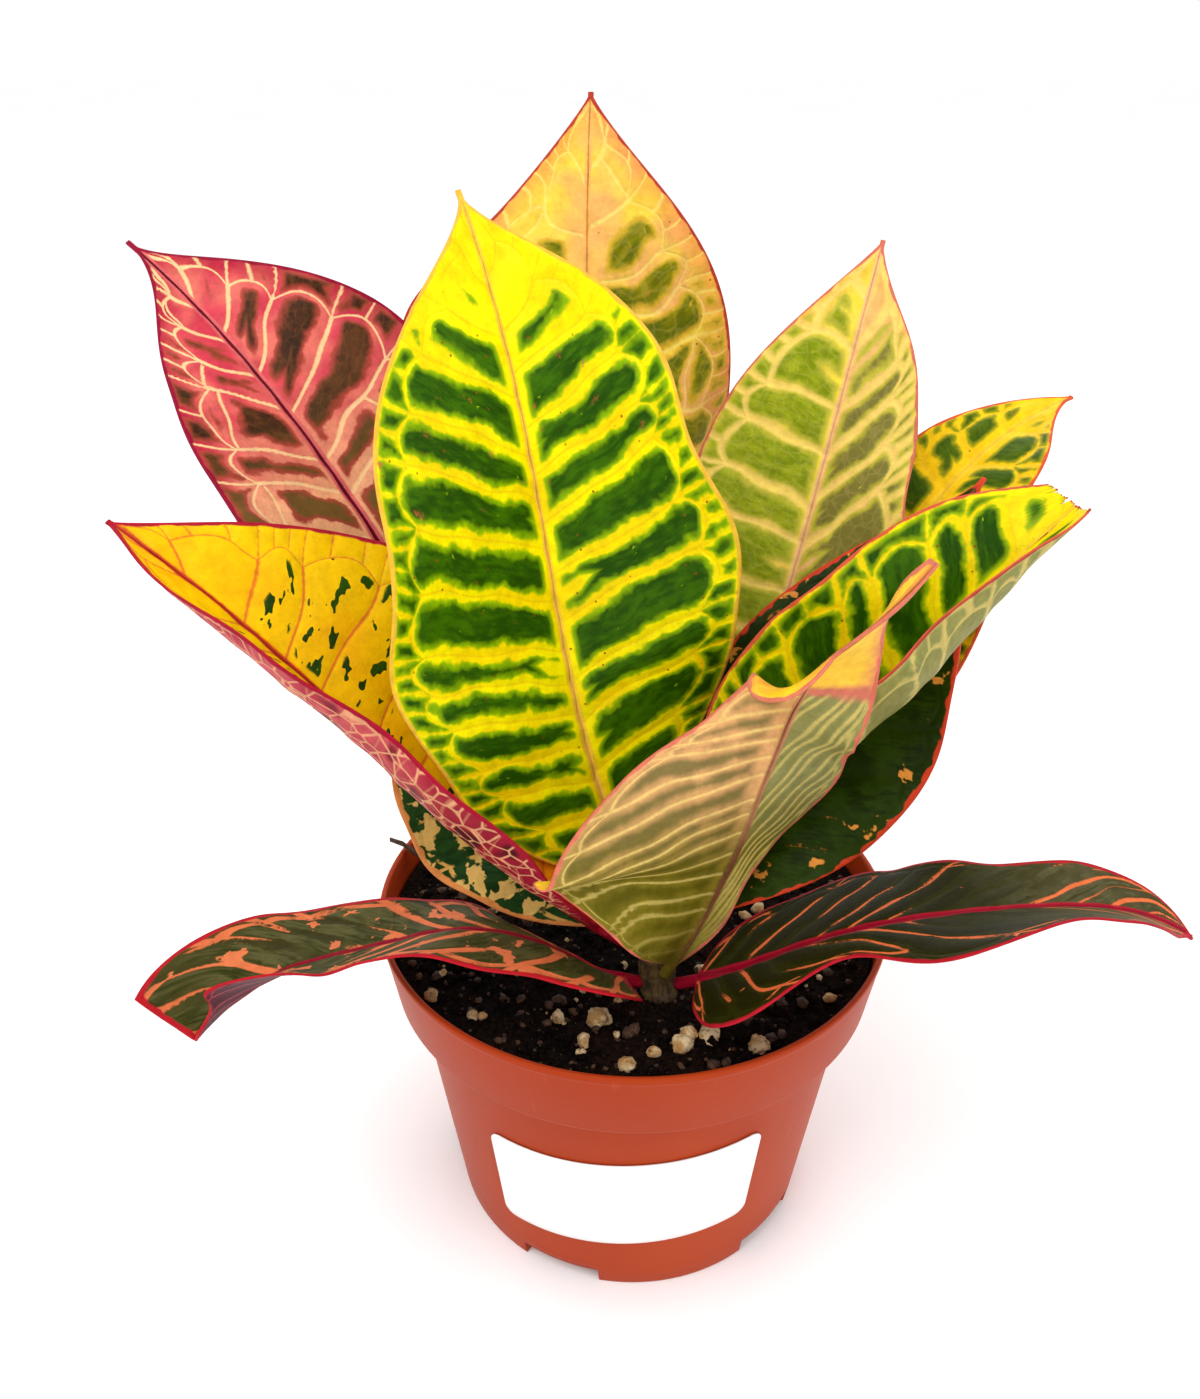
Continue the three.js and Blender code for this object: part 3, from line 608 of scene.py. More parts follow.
    def lay_marks(self):
        """Blotches, spots, the other face past a turn, and dots."""
        look = self.look
        if "blotch" in look:
            tone, scale, level = look["blotch"]
            blots = self.noise(self.spot, scale, 3, 0.55, 0.25).step(level, level + 0.03)
            reach = look["blotch_reach"]
            self.lay(tone, blots * (self.rim + self.warp * 4.0).step(reach, reach * 0.5))
        if "spots" in look:
            tone, start, stop, level = look["spots"]
            place = self.span + self.warp * 20.0
            region = place.step(start, start + 15.0) * place.step(stop, stop - 15.0)
            specks = self.streaks(2.6, 0.2, 8.0, 5, 0.75, 0.5).step(level, level + 0.08)
            self.lay(tone, specks * region * 0.85)
        if "turn" in look:
            start, glow_tone, edge_tone, line_tone = look["turn"]
            place = self.span + self.warp * 3.0
            flap = self.mix(edge_tone, glow_tone, (self.rim + self.warp * 3.0).step(0.0, 3.5))
            self.lay(flap, place.step(start, start + 1.0))
            self.lay(line_tone, place.step(start - 2.2, start - 0.4) * place.step(start + 2.0, start))
        if "dots" in look:
            dots = self.cells(self.spot, 0.34, "F1").step(0.1, 0.06)
            self.lay(look["dots"], dots * self.noise(self.spot, 0.12, 1).step(0.42, 0.5) * 0.85)

    def lay_rib_and_rim(self):
        """The band and the thread along the rib, the margin and the stalk."""
        look = self.look
        narrowing = self.span * (-0.6 / 130) + 1.1
        band = (self.rib + self.fine * 0.3 - narrowing * look["rib_band"]).step(0.45, 0.0)
        self.lay(look["rib_colour"], band)
        thread = (self.rib + self.fine * 0.2 - narrowing * look["thread_width"]).step(0.2, 0.0)
        self.lay(look["thread"], thread * look["thread_share"])
        if "rib_brown" in look:
            end = look["rib_brown"]
            streak = (self.rib + self.fine * 1.4).step(1.6, 0.2) * self.span.step(end, end - 14.0)
            self.lay(BROWN, streak * 0.8)
        edge = self.rim - (self.warp + 0.5).step(0.3, 0.7) * look["margin_vary"]
        self.lay(look["margin_colour"], edge.step(look["margin"] + 0.35, look["margin"]))
        self.lay(look["stalk"], self.span.step(look["stalk_reach"], -1.0))

    def finished(self):
        """The material, its colour mottled and dusted and its surface grained."""
        look = self.look
        shade = self.noise(self.spot, 0.4, 5, 0.7) * 0.8 + 0.6
        self.colour = self.signal("HueSaturation", {"Value": shade, "Color": self.colour})
        grain = self.noise(self.spot, 6.0)
        self.lay(DUST, grain.step(0.6, 0.8) * 0.04)
        roughness = self.fine * 0.2 + look["roughness"]
        height = self.vein.step(0.0, 1.0) * 0.5 + self.fine * 0.5 + grain * 0.1
        return self.finish(self.colour, roughness, look["gloss"], height, 0.0002, look["glow"])


def leaf_paint(name, look):
    paint = LeafPaint(name, look)
    paint.lay_ground()
    paint.lay_lines()
    paint.lay_marks()
    paint.lay_rib_and_rim()
    return paint.finished()


CRIMSON = "#960e26"
BROWN = "#683620"
DUST = "#bebeb4"

# Looks. Widths and places are mm, and places count up the blade from its foot. Keys without a plain
# value: spacing parts the side veins, or veins_left and veins_right place them as shares of the
# blade, and lean is how far they rise towards the rim at four stations. rim_cells is the depth of
# the cells along the rim. ground and patch are two tones each, and edge is how deep among the veins
# a patch starts and is full. halo is the ground beside a patch, right and lower are the tones of
# the right half and of the blade up to a place, and blush (tone, width, share) is the ground's near
# the rim. split parts patches, gaps and flecks leave some out, and tip shrinks them between two
# places. broken interrupts the lines on the veins, and line_from starts them. net (tone, scale,
# share), blotch (tone, scale, level), spots (tone, from, to, level) and dots are marks. From turn
# on the blade shows its other face, and up to rib_brown the rib is brown.
PLAIN_LOOK = dict(
    lean_vary=0.012,  # how unlike the side veins lean
    bow=0.85,  # their curve, 1 if straight
    sway=1.0,  # how much they wander
    rim_count=(2, 4),  # least rim cells between two side veins, and one more than the most
    crossings=0,  # share of the strips that a cross vein parts
    quilt=0.3,  # swelling between the veins
    reach=0.7,  # width of the halo
    soft=1.1,  # rounding of the patches
    ragged=1.4,  # unevenness of their edges
    rib=1.4,  # bare width along the rib
    bare_rim=0.6,  # bare width along the rim
    rim_lift=0.0,  # growth of the patches in the rim cells
    chips=0.68,  # level of the noise that chips the patches
    line_soft=0.3,
    line_share=1.0,
    rib_band=0.9,
    thread_width=0.2,
    thread_share=0.7,
    margin=0.2,
    margin_vary=0.45,
    stalk_reach=2.0,
    blotch_reach=90.0,  # how far from the rim blotches go
    roughness=0.36,
    glow=0.1,
    gloss=0.07,
)
DARK = dict(
    spacing=9, rim_cells=3, rim_count=(1, 2), edge=(0.9, 1.6), rib=1.0, chips=0.9, rib_band=0.4,
    glow=0.04,
)
DROOPING = dict(
    DARK, spacing=8, bow=1.0, sway=0.8, rim_cells=2.5, quilt=0.15, edge=(0.8, 1.4), thread_share=1.0,
    stalk=CRIMSON, roughness=0.45, glow=0.03, gloss=0.03,
)

LOOKS = {
    "leaf_01": dict(
        veins_left=[
            -0.04, 0.03, 0.09, 0.15, 0.2, 0.25, 0.3, 0.35, 0.42, 0.5, 0.565, 0.63, 0.71, 0.79, 0.86, 0.93,
        ],
        veins_right=[
            -0.05, 0.02, 0.08, 0.155, 0.235, 0.3, 0.385, 0.46, 0.53, 0.6, 0.665, 0.735, 0.8, 0.87, 0.94,
        ],
        lean_left=[0.02, 0.08, 0.1, 0.06], lean_right=[0.05, 0.11, 0.1, 0.06], sway=0.5, rim_cells=6,
        ground=["#fff000", "#fcde00"], patch=["#3c6a00", "#224a00"], edge=(1.4, 2.6), halo="#8cb400",
        reach=0.5, rib=2.1, bare_rim=0.9, rim_lift=0.9, split=6, tip=(92, 116, 3.0), chips=0.66,
        line="#ecba0a", line_width=0.05, line_share=0.45, rib_colour="#f6ce32", rib_band=0.75,
        thread="#d68c54", margin_colour="#f0be3c", stalk="#966e1e", spots=("#ce5446", 66, 104, 0.62),
        dots="#963e14",
    ),
    "leaf_02": dict(
        spacing=10, lean=[0.05, 0.09, 0.09, 0.06], sway=1.6, rim_cells=7, crossings=0.4,
        ground=["#fcba68", "#fcd848"], patch=["#928c08", "#626c04"], edge=(0.9, 2.2), halo="#e0b632",
        reach=0.6, blush=("#f48c46", 7.0, 0.6), soft=1.4, ragged=1.6, rib=2.8, bare_rim=1.6,
        tip=(108, 136, 2.6), line="#ffe678", line_width=0.15, line_share=0.7,
        net=("#ffde7c", 0.3, 0.08), rib_colour="#f8be60", thread="#c4643c", margin_colour="#ba3c2c",
        stalk="#965a28", spots=("#ce6e3c", 70, 150, 0.64), dots="#963e1e",
    ),
    "leaf_03": dict(
        spacing=9.5, lean=[0.03, 0.06, 0.09, 0.06], sway=0.8, rim_cells=6.5, rim_count=(1, 3),
        crossings=0.5, ground=["#d83e52", "#ec7668"], patch=["#5e3618", "#3a200e"], edge=(1.9, 3.2),
        halo="#b04638", reach=0.4, lower=(96, "#7a5c28", "#fcb886"), blush=("#b61038", 7.0, 0.85),
        ragged=1.8, rib=2.0, rim_lift=1.0, split=4, tip=(122, 150, 3.0), line="#fed096", line_width=0.2,
        net=("#965a28", 0.5, 0.12), rib_colour="#de6868", rib_band=1.3, thread="#68081e",
        thread_width=0.5, thread_share=1.0, margin_colour="#960e32", margin=0.25, stalk=CRIMSON,
    ),
    "leaf_04": dict(
        spacing=10, lean=[0.06, 0.08, 0.1, 0.08], bow=0.8, rim_cells=7, ground=["#ffd000", "#ffc400"],
        patch=["#2e5404", "#1c3a04"], edge=(0.9, 1.4), lower=(26, "#2e4c04", "#f69606"), rib=1.6,
        flecks=0.572, tip=(84, 96, 6.0), chips=0.9, line="#de6028", line_width=0.05, line_soft=0.35,
        line_share=0.8, rib_colour="#ce4622", rib_band=0.7, thread="#8c141a", thread_width=0.3,
        margin_colour="#b0182c", margin=0.4, stalk=CRIMSON,
    ),
    "leaf_05": dict(
        spacing=10, lean_left=[0.0, 0.02, 0.04, 0.05], lean_right=[0.12, 0.15, 0.14, 0.1], sway=0.7,
        rim_cells=5, ground=["#fad654", "#f6e03c"], patch=["#a4ae1c", "#7e9004"], edge=(0.9, 2.2),
        halo="#c4bc38", reach=0.8, right=["#827a34", "#f4c070"], lower=(52, "#848e04", "#e6d842"),
        blush=("#f4a646", 7.0, 0.6), rib=1.5, bare_rim=0.8, rim_lift=0.5, split=4, tip=(108, 128, 2.6),
        line="#fedc70", line_width=0.35, line_soft=0.9, line_share=0.8, net=("#d6c86e", 0.4, 0.12),
        rib_colour="#f4c882", rib_band=0.7, thread="#de8c60", margin_colour="#d6745a", margin=0.1,
        stalk="#965a3c",
    ),
    "leaf_06": dict(
        spacing=10.5, lean=[0.06, 0.08, 0.06, 0.04], rim_cells=6, ground=["#fcce08", "#f8c40e"],
        patch=["#506800", "#325000"], edge=(1.3, 2.2), halo="#96960a", reach=0.6, rib=2.4, bare_rim=1.0,
        rim_lift=0.6, split=4, tip=(120, 136, 2.4), line="#f6c41e", line_width=0.1, line_share=0.5,
        rib_colour="#facc22", rib_band=1.2, thread="#eeb43c", margin_colour="#dc5a2c", stalk="#965a28",
        dots="#aa501e",
    ),
    "leaf_07": dict(
        spacing=9.5, lean=[0.14, 0.16, 0.14, 0.1], rim_cells=5, rim_count=(1, 3),
        ground=["#ffe804", "#fadc04"], patch=["#3c6800", "#204800"], edge=(1.1, 2.2), halo="#96b404",
        reach=0.45, soft=1.6, rib=1.8, bare_rim=0.9, rim_lift=0.6, tip=(84, 98, 1.2), line="#f4c814",
        line_width=0.05, line_share=0.5, rib_colour="#fad628", thread="#e2a046",
        margin_colour="#d65a3c", margin=0.1, stalk="#825028", dots="#963e14",
    ),
    "leaf_08": dict(
        spacing_left=7.5, spacing_right=4.6, lean_left=[0.42, 0.4, 0.3, 0.1],
        lean_right=[0.03, -0.12, -0.1, 0.0], lean_vary=0.015, bow=1.0, sway=0.7, rim_cells=2.5,
        rim_count=(1, 2), quilt=0.12, ground=["#ffce28", "#fab03c"], patch=["#c8b422", "#b4a022"],
        edge=(1.2, 2.4), tip=(58, 66, 6.0), line="#ffe25a", line_width=0.1, line_share=0.4,
        rib_colour="#f0aa46", rib_band=0.6, thread="#d66e3c", margin_colour="#de7c60", margin=0.15,
        stalk="#6e5c28",
    ),
    "leaf_09": dict(
        DARK, lean=[0.1, 0.12, 0.1, 0.06], ground=["#203200", "#2a3e02"], patch=["#1a2a00", "#2c4204"],
        line="#e28038", line_width=0.35, broken=0.6, rib_colour="#5a3c18", thread="#964c28",
        margin_colour="#d64224", margin=0.05, margin_vary=0.9, stalk="#3c1e18",
        blotch=("#e8963c", 0.2, 0.6), blotch_reach=10.0,
    ),
    "leaf_10": dict(
        DARK, lean=[0.08, 0.1, 0.08, 0.05], ground=["#1e421a", "#2a5020"], patch=["#1a3a18", "#2c5222"],
        line="#ecba60", line_width=0.4, broken=0.52, rib_colour="#d69650", thread="#d66e46",
        margin_colour="#e89650", margin=0.5, margin_vary=0.8, stalk="#6e2822",
        blotch=("#f0c870", 0.19, 0.55),
    ),
    "leaf_11": dict(
        DROOPING, lean=[0.12, 0.2, 0.22, 0.14], ground=["#4a4822", "#3a3816"],
        patch=["#32360e", "#585630"], line="#de7648", line_width=0.6, broken=0.47, rib_colour=CRIMSON,
        rib_band=0.7, thread="#840c24", thread_width=0.4, margin_colour="#b81e28", margin=0.4,
        blotch=("#dc7a4c", 0.22, 0.615),
    ),
    # leaf_12's ground is its olive lightened to a pale grey olive, a painted sheen on the far part of the
    # blade; lower keeps the darker olive up to 66 mm from its foot.
    "leaf_12": dict(
        DROOPING, lean=[0.16, 0.26, 0.26, 0.14], ground=["#5e583a", "#464224"],
        patch=["#3c3a1a", "#5c5838"], lower=(66, "#222202", "#2c2c06"), line="#e4703e", line_width=0.22,
        broken=0.5, rib_colour="#a4142c", rib_band=1.0, thread="#8c0a22", thread_width=0.6,
        margin_colour="#b01c28", margin=0.3, blotch=("#e27642", 0.22, 0.73),
    ),
}

# Undersides, a plain one and those of the leaves that turn theirs to the viewer
UNDER_PLAIN = dict(
    ground=["#b29656", "#be8c5a"], patch=["#786c3e", "#686036"], edge=(0.8, 1.9), halo="#c4a060",
    line="#e2c882", line_width=0.3, net=("#ceb276", 0.5, 0.3), rib_colour="#c8885a", rib_band=1.1,
    thread="#aa381e", margin_colour="#be5050", stalk="#8c3c30", roughness=0.5,
)
UNDERSIDES = {
    "leaf_04": dict(
        ground=["#b82c42", "#c85458"], patch=["#781428", "#8c2834"], edge=(1.2, 2.4),
        lower=(50, "#4e0a16", "#92142a"), gaps=0.72, line="#ecb47c", line_width=0.15, line_share=0.25,
        net=("#e8aa7c", 0.3, 0.8), rib_colour=CRIMSON, thread="#820a24", margin_colour="#a00e2e",
        margin=0.4, stalk=CRIMSON, stalk_reach=14.0, roughness=0.5,
    ),
    "leaf_07": dict(
        ground=["#baac5c", "#c8b262"], patch=["#868442", "#96904e"], edge=(0.7, 1.7), halo="#8e9050",
        chips=0.9, line="#d8c274", line_width=0.25, rib_colour="#968246", thread=BROWN,
        margin_colour="#aa4038", margin=0.2, margin_vary=0.2, stalk=BROWN, roughness=0.5,
    ),
    "leaf_08": dict(
        ground=["#a09c60", "#969454"], patch=["#8c8e56", "#7a7e46"], edge=(0.0, 2.3), reach=0.5,
        right=["#867442", "#e4ac70"], lower=(34, "#645c0e", "#867822"), soft=0.9, ragged=1.3, rib=1.8,
        chips=0.9, line="#fae082", line_width=0.1, line_soft=0.45, line_share=0.5, line_from=10,
        rib_colour="#ce9664", rib_band=0.3, thread="#c4785c", rib_brown=38, margin_colour="#de7460",
        margin=0.15, margin_vary=0.6, stalk="#685c18", stalk_reach=8.0,
        turn=(71, "#ffcc46", "#ec9660", "#da7a64"), roughness=0.5,
    ),
    "leaf_11": dict(
        ground=["#5c1a2a", "#4a1422"], patch=["#40101e", "#541a26"], edge=(0.8, 1.6), chips=0.9,
        line="#96323c", line_width=0.2, rib_colour=CRIMSON, thread="#460c14", margin_colour="#b4182e",
        margin=0.4, stalk=CRIMSON, roughness=0.45,
    ),
}
for dark_leaf in ("leaf_09", "leaf_10", "leaf_12"):
    UNDERSIDES[dark_leaf] = UNDERSIDES["leaf_11"]
ONLY_ABOVE = (  # keys that an underside doesn't share with the upper face
    "spots", "dots", "tip", "blotch", "flecks", "broken", "net", "right", "halo", "split", "rim_lift",
    "lower",
)


# Pot
POT_HEIGHT = 74
RIM_RADIUS = 53
RIM_WIDTH = 1.1
BEAD_HEIGHTS = (72.2, 72.8)  # where the collar swells to the rim
MOUTH_HEIGHT = 71
COLLAR_FOOT = (50.8, 58)  # outer radius, height
STEP_HEIGHTS = (56.6, 57.2)  # where the wall flares to the collar
WALL_TOP_RADIUS = 46.9
WALL_THICKNESS = 1.3
WALL_FOOT_HEIGHT = 6
FOOT_RADIUS = 39.3
FOOT_HEIGHT = 4
FOOT_WIDTH = 2.4
PAD_RADIUS = 22
CENTRE = 0.01  # radius of the small faces that close the middle
NOTCHES = 5
NOTCH_ANGLE = 25
FIRST_NOTCH = -23
POT_CORNER = 0.5
POT_STEP = 2.5  # degrees between two columns


def around(angle, radius, height):
    """A place on the pot, its angle counted from the label's side."""
    direction = math.radians(angle)
    return radius * math.sin(direction), -radius * math.cos(direction), height


def wall_radius(height):
    return FOOT_RADIUS + (WALL_TOP_RADIUS - FOOT_RADIUS) * height / COLLAR_FOOT[1]


def collar_radius(height):
    share = (height - COLLAR_FOOT[1]) / (POT_HEIGHT - COLLAR_FOOT[1])
    return COLLAR_FOOT[0] + (RIM_RADIUS - COLLAR_FOOT[0]) * share


def inner_wall(height):
    """Point of the inner wall."""
    outer = wall_radius(height) if height < COLLAR_FOOT[1] else collar_radius(height)
    return outer - WALL_THICKNESS, height


def rounded(outline, radius):
    """The outline's corners cut to arcs of three points, as far as its sides leave room."""
    smoothed = [outline[0]]
    for before, corner, after in zip(outline, outline[1:], outline[2:]):
        before, corner, after = (np.array(p, float) for p in (before, corner, after))
        size = min(radius, 0.4 * np.linalg.norm(before - corner), 0.4 * np.linalg.norm(after - corner))
        start = corner + (before - corner) * size / np.linalg.norm(before - corner)
        end = corner + (after - corner) * size / np.linalg.norm(after - corner)
        smoothed += [start, 0.25 * start + 0.5 * corner + 0.25 * end, end]
    return smoothed + [outline[-1]]


def pot_outline():
    """Half section, from the middle underneath, out round the rim, to the middle of the floor."""
    floor_top = FOOT_HEIGHT + WALL_THICKNESS
    underside = [
        (CENTRE, 0), (PAD_RADIUS, 0), (PAD_RADIUS + 1.5, FOOT_HEIGHT),
        (FOOT_RADIUS - FOOT_WIDTH - 0.3, FOOT_HEIGHT), (FOOT_RADIUS - FOOT_WIDTH, 0),
    ]
    outer_side = [
        (FOOT_RADIUS, 0), (wall_radius(WALL_FOOT_HEIGHT), WALL_FOOT_HEIGHT),
        (wall_radius(STEP_HEIGHTS[0]), STEP_HEIGHTS[0]), (WALL_TOP_RADIUS + 0.25, STEP_HEIGHTS[1]),
        (COLLAR_FOOT[0] - 0.2, COLLAR_FOOT[1]), (collar_radius(BEAD_HEIGHTS[0]), BEAD_HEIGHTS[0]),
        (RIM_RADIUS, BEAD_HEIGHTS[1]), (RIM_RADIUS, POT_HEIGHT),
    ]
    inner_side = [
        (RIM_RADIUS - RIM_WIDTH, POT_HEIGHT), inner_wall(MOUTH_HEIGHT),
        inner_wall(COLLAR_FOOT[1] + 1.8), inner_wall(COLLAR_FOOT[1] - 1), inner_wall(floor_top),
        (PAD_RADIUS, floor_top), (PAD_RADIUS - 1.5, WALL_THICKNESS), (CENTRE, WALL_THICKNESS),
    ]
    return rounded(underside + outer_side + inner_side, POT_CORNER)


def make_pot(material):
    middles = [FIRST_NOTCH + 360 / NOTCHES * k for k in range(NOTCHES)]
    edges = [middle + half for middle in middles for half in (-NOTCH_ANGLE / 2, NOTCH_ANGLE / 2)]
    beside_edges = [(edge + step) % 360 for edge in edges for step in (-0.05, 0.05)]
    angles = sorted([*np.arange(0, 360, POT_STEP), *beside_edges])
    profile = pot_outline()
    points = []
    for angle in angles:
        nearest_notch = min(abs((angle - middle + 180) % 360 - 180) for middle in middles)
        for radius, height in profile:
            if nearest_notch < NOTCH_ANGLE / 2 and radius > PAD_RADIUS + 1.6 and height < FOOT_HEIGHT:
                radius += wall_radius(FOOT_HEIGHT) - wall_radius(height)
                height = FOOT_HEIGHT
            points.append(around(angle, radius, height))
    index = np.arange(len(points)).reshape(len(angles), len(profile))
    return add_mesh("pot_look", points, tube_faces(index.T), [material])


def pot_paint():
    paint = Paint("pot")
    place = paint.place()
    cloud = paint.noise(place, 18.0, 3)
    grain = paint.noise(place, 1400.0, 2, 0.6)
    colour = paint.mix("#a2350e", "#ac3e16", cloud.step(0.35, 0.7))
    scuff = paint.noise(paint.place(z=0.25), 160.0, 4, 0.7).step(0.64, 0.74)
    colour = paint.mix(colour, "#c4644a", scuff * 0.25)
    soil_dust = paint.noise(place, 260.0, 4, 0.75).step(0.66, 0.72)
    colour = paint.mix(colour, "#603022", soil_dust * 0.25)
    rings = paint.noise(paint.place(0.0, 0.0, 1.0), 900.0, 1)
    height = grain * 0.4 + rings * 0.5
    return paint.finish(colour, cloud * 0.12 + 0.36, 0.08, height, 0.00006)


# Label
LABEL_LEFT = -40.0
LABEL_RIGHT = 33.0
LABEL_GAP = 0.15
LABEL_THICKNESS = 0.25
LABEL_MIDDLE = 29.5
LABEL_RISE = 4.5  # from the left end to the right
LABEL_HEIGHT = 27.0
LABEL_CORNER = 2.6
LABEL_RADIUS = 42  # of the wall behind it
LABEL_COLUMNS = 72
LABEL_ROWS = 14


def make_label(material):
    points = []
    for offset in (LABEL_GAP + LABEL_THICKNESS, LABEL_GAP):
        for column in range(LABEL_COLUMNS + 1):
            share = 0.5 - 0.5 * math.cos(math.pi * column / LABEL_COLUMNS)
            angle = LABEL_LEFT + (LABEL_RIGHT - LABEL_LEFT) * share
            from_end = math.radians(min(angle - LABEL_LEFT, LABEL_RIGHT - angle)) * LABEL_RADIUS
            to_centre = max(0, LABEL_CORNER - from_end)
            inset = LABEL_CORNER - math.sqrt(max(0, LABEL_CORNER**2 - to_centre**2))
            middle = LABEL_MIDDLE + LABEL_RISE * (share - 0.5)
            for row in range(LABEL_ROWS + 1):
                height = middle + (LABEL_HEIGHT / 2 - inset) * (2 * row / LABEL_ROWS - 1)
                points.append(around(angle, wall_radius(height) + offset, height))
    index = np.arange(len(points) // 2).reshape(LABEL_COLUMNS + 1, LABEL_ROWS + 1)
    front = grid_faces(index)
    border = np.concatenate([index[:-1, 0], index[-1, :-1], index[:0:-1, -1], index[0, :0:-1]])
    following = np.roll(border, -1)
    edge = np.stack([border, border + index.size, following + index.size, following], -1)
    faces = [*front[:, ::-1], *(front + index.size), *edge]
    return add_mesh("label_look", points, faces, [material])


def label_paint():
    paint = Paint("label")
    place = paint.place()
    fibre = paint.noise(place, 900.0, 4, 0.7)
    colour = paint.mix("#fafaf8", "#f2f2f0", paint.noise(place, 40.0).step(0.3, 0.8))
    return paint.finish(colour, 0.5, 0.4, fibre, 0.00004)


# Soil
SOIL_LEVEL = 69
SOIL_RADII = np.concatenate([np.linspace(0.5, 48, 62), np.linspace(48.6, 50.4, 5)])
SOIL_BOTTOM = [(50.4, 61), (44, 56), (38, 6)]  # radius and height of the rings below
SOIL_SIDES = 180
LUMPS = [  # x, y, size of the pale lumps that show
    (-14.9, -32.4, 1.8), (-7.1, -33.2, 2.4), (-2, -44.6, 1.6), (8.2, -40.4, 2.3), (9.6, -37.6, 2.0),
    (13.3, -37.6, 2.4), (22.3, -40.1, 2.2), (-31, -32.4, 1.4), (-39.5, -26.7, 1.8), (-10, -39.4, 1.6),
]
SCATTERED_LUMPS = 110
CRUMBS = 2400
TWIG = [(-40, 12, 67, 0.8), (-46, 13.5, 72, 0.7), (-50.5, 14.5, 75.4, 0.6), (-53.5, 15.5, 75.9, 0.5)]
TWIG_SIDES = 8
SOIL, PERLITE, BARK = range(3)  # the soil's materials


def ring(count):
    """Cosines and sines of equal steps round a circle."""
    angles = np.arange(count) * 2 * math.pi / count
    return np.cos(angles), np.sin(angles)


def soil_height(x, y):
    place = Vector((x, y, 0))
    rough = noise.fractal(place / 9, 0.8, 2.1, 3) * 0.55 + noise.fractal(place / 2.2, 0.7, 2.1, 4) * 0.45
    edge = 1 - 0.9 * max(0, math.hypot(x, y) - 46) / 4
    return SOIL_LEVEL + rough * edge - 0.2


def soil_bed():
    """Points and faces of the soil without its lumps."""
    cosines, sines = ring(SOIL_SIDES)
    points = []
    for radius in SOIL_RADII:
        points += [(x, y, soil_height(x, y)) for x, y in zip(radius * cosines, radius * sines)]
    for radius, height in SOIL_BOTTOM:
        points += zip(radius * cosines, radius * sines, [height] * SOIL_SIDES)
    faces = tube_faces(np.arange(len(points)).reshape(-1, SOIL_SIDES))
    return points, [[face[0], *face[:0:-1]] for face in faces]


def twig():
    points = []
    for x, y, height, radius in TWIG:
        points += [(x, y + radius * a, height + radius * b) for a, b in zip(*ring(TWIG_SIDES))]
    return points, tube_faces(np.arange(len(points)).reshape(-1, TWIG_SIDES))


def unit_ball(detail):
    made = bmesh.new()
    bmesh.ops.create_icosphere(made, subdivisions=detail, radius=1)
    points = np.array([vertex.co[:] for vertex in made.verts])
    faces = [[vertex.index for vertex in face.verts] for face in made.faces]
    made.free()
    return points, faces


def lump(draw, ball, x, y, size, flat=0.75, sunk=0.1, rough=0.35):
    """A ball at x, y, dented by noise, and stretched and turned at random."""
    shape, faces = ball
    seed = Vector(draw.uniform(-50, 50, 3))
    stretch = draw.uniform(0.7, 1.2, 3) * (1, 1, flat)
    turn = draw.uniform(0, 2 * math.pi)
    cosine, sine = math.cos(turn), math.sin(turn)
    spin = np.array([[cosine, -sine, 0], [sine, cosine, 0], [0, 0, 1]])
    bulge = [1 + rough * noise.fractal(Vector(point) * 1.3 + seed, 0.8, 2.1, 3) for point in shape]
    points = (shape * np.array(bulge)[:, None] * stretch * size) @ spin.T
    return points + (x, y, soil_height(x, y) + size * (flat * 0.6 - sunk)), faces


def anywhere(draw, limit):
    radius, angle = limit * math.sqrt(draw.uniform()), draw.uniform(0, 2 * math.pi)
    return radius * math.cos(angle), radius * math.sin(angle)


def make_soil(materials):
    draw = np.random.default_rng(11)
    small, medium, fine = unit_ball(1), unit_ball(2), unit_ball(3)
    pieces = [(SOIL, *soil_bed())]
    for x, y, size in LUMPS:
        pieces.append((PERLITE, *lump(draw, fine, x, y, size)))
    for _ in range(SCATTERED_LUMPS):
        x, y = anywhere(draw, 47)
        pieces.append((PERLITE, *lump(draw, medium, x, y, 0.35 + 1.3 * draw.uniform() ** 2)))
    for _ in range(CRUMBS):
        x, y = anywhere(draw, 48)
        size = 0.35 + 1.2 * draw.uniform() ** 3
        flat = draw.uniform(0.5, 0.9)
        kind = BARK if draw.uniform() < 0.3 else SOIL
        pieces.append((kind, *lump(draw, small, x, y, size, flat, 0.2, 0.5)))
    pieces.append((BARK, *twig()))
    points, faces, kinds = [], [], []
    for kind, piece_points, piece_faces in pieces:
        faces += [np.asarray(face) + len(points) for face in piece_faces]
        points += list(piece_points)
        kinds += [kind] * len(piece_faces)
    return add_mesh("soil_look", points, faces, materials, kinds)


def soil_paint():
    paint = Paint("soil")
    place = paint.place()
    grain = paint.noise(place, 900.0, 5, 0.75)
    damp = grain * 0.7 + paint.noise(place, 120.0, 3) * 0.3
    colour = paint.mix("#0a0605", "#2c1c14", damp.step(0.42, 0.68))
    bits = paint.noise(place, 1500.0, 3, 0.7).step(0.66, 0.72)
    colour = paint.mix(colour, "#967658", bits * 0.7)
    return paint.finish(colour, 0.9, 0.05, grain, 0.0012)


def lump_paint():
    paint = Paint("perlite")
    place = paint.place()
    pits = paint.noise(place, 1300.0, 4, 0.7)
    stain = paint.noise(place, 330.0, 4, 0.65)
    colour = paint.mix("#e4cca0", "#ba8e58", stain.step(0.38, 0.6))
    dirt = paint.noise(place, 620.0, 4, 0.7).step(0.54, 0.66)
    colour = paint.mix(colour, "#54341a", dirt * 0.85)
    return paint.finish(colour, 0.8, 0.1, pits, 0.0006)


def bark_paint(name, light, dark):
    paint = Paint(name)
    streak = paint.noise(paint.place(z=0.2), 900.0, 4, 0.7)
    colour = paint.mix(light, dark, streak.step(0.4, 0.62))
    return paint.finish(colour, 0.7, 0.3, streak, 0.0003)


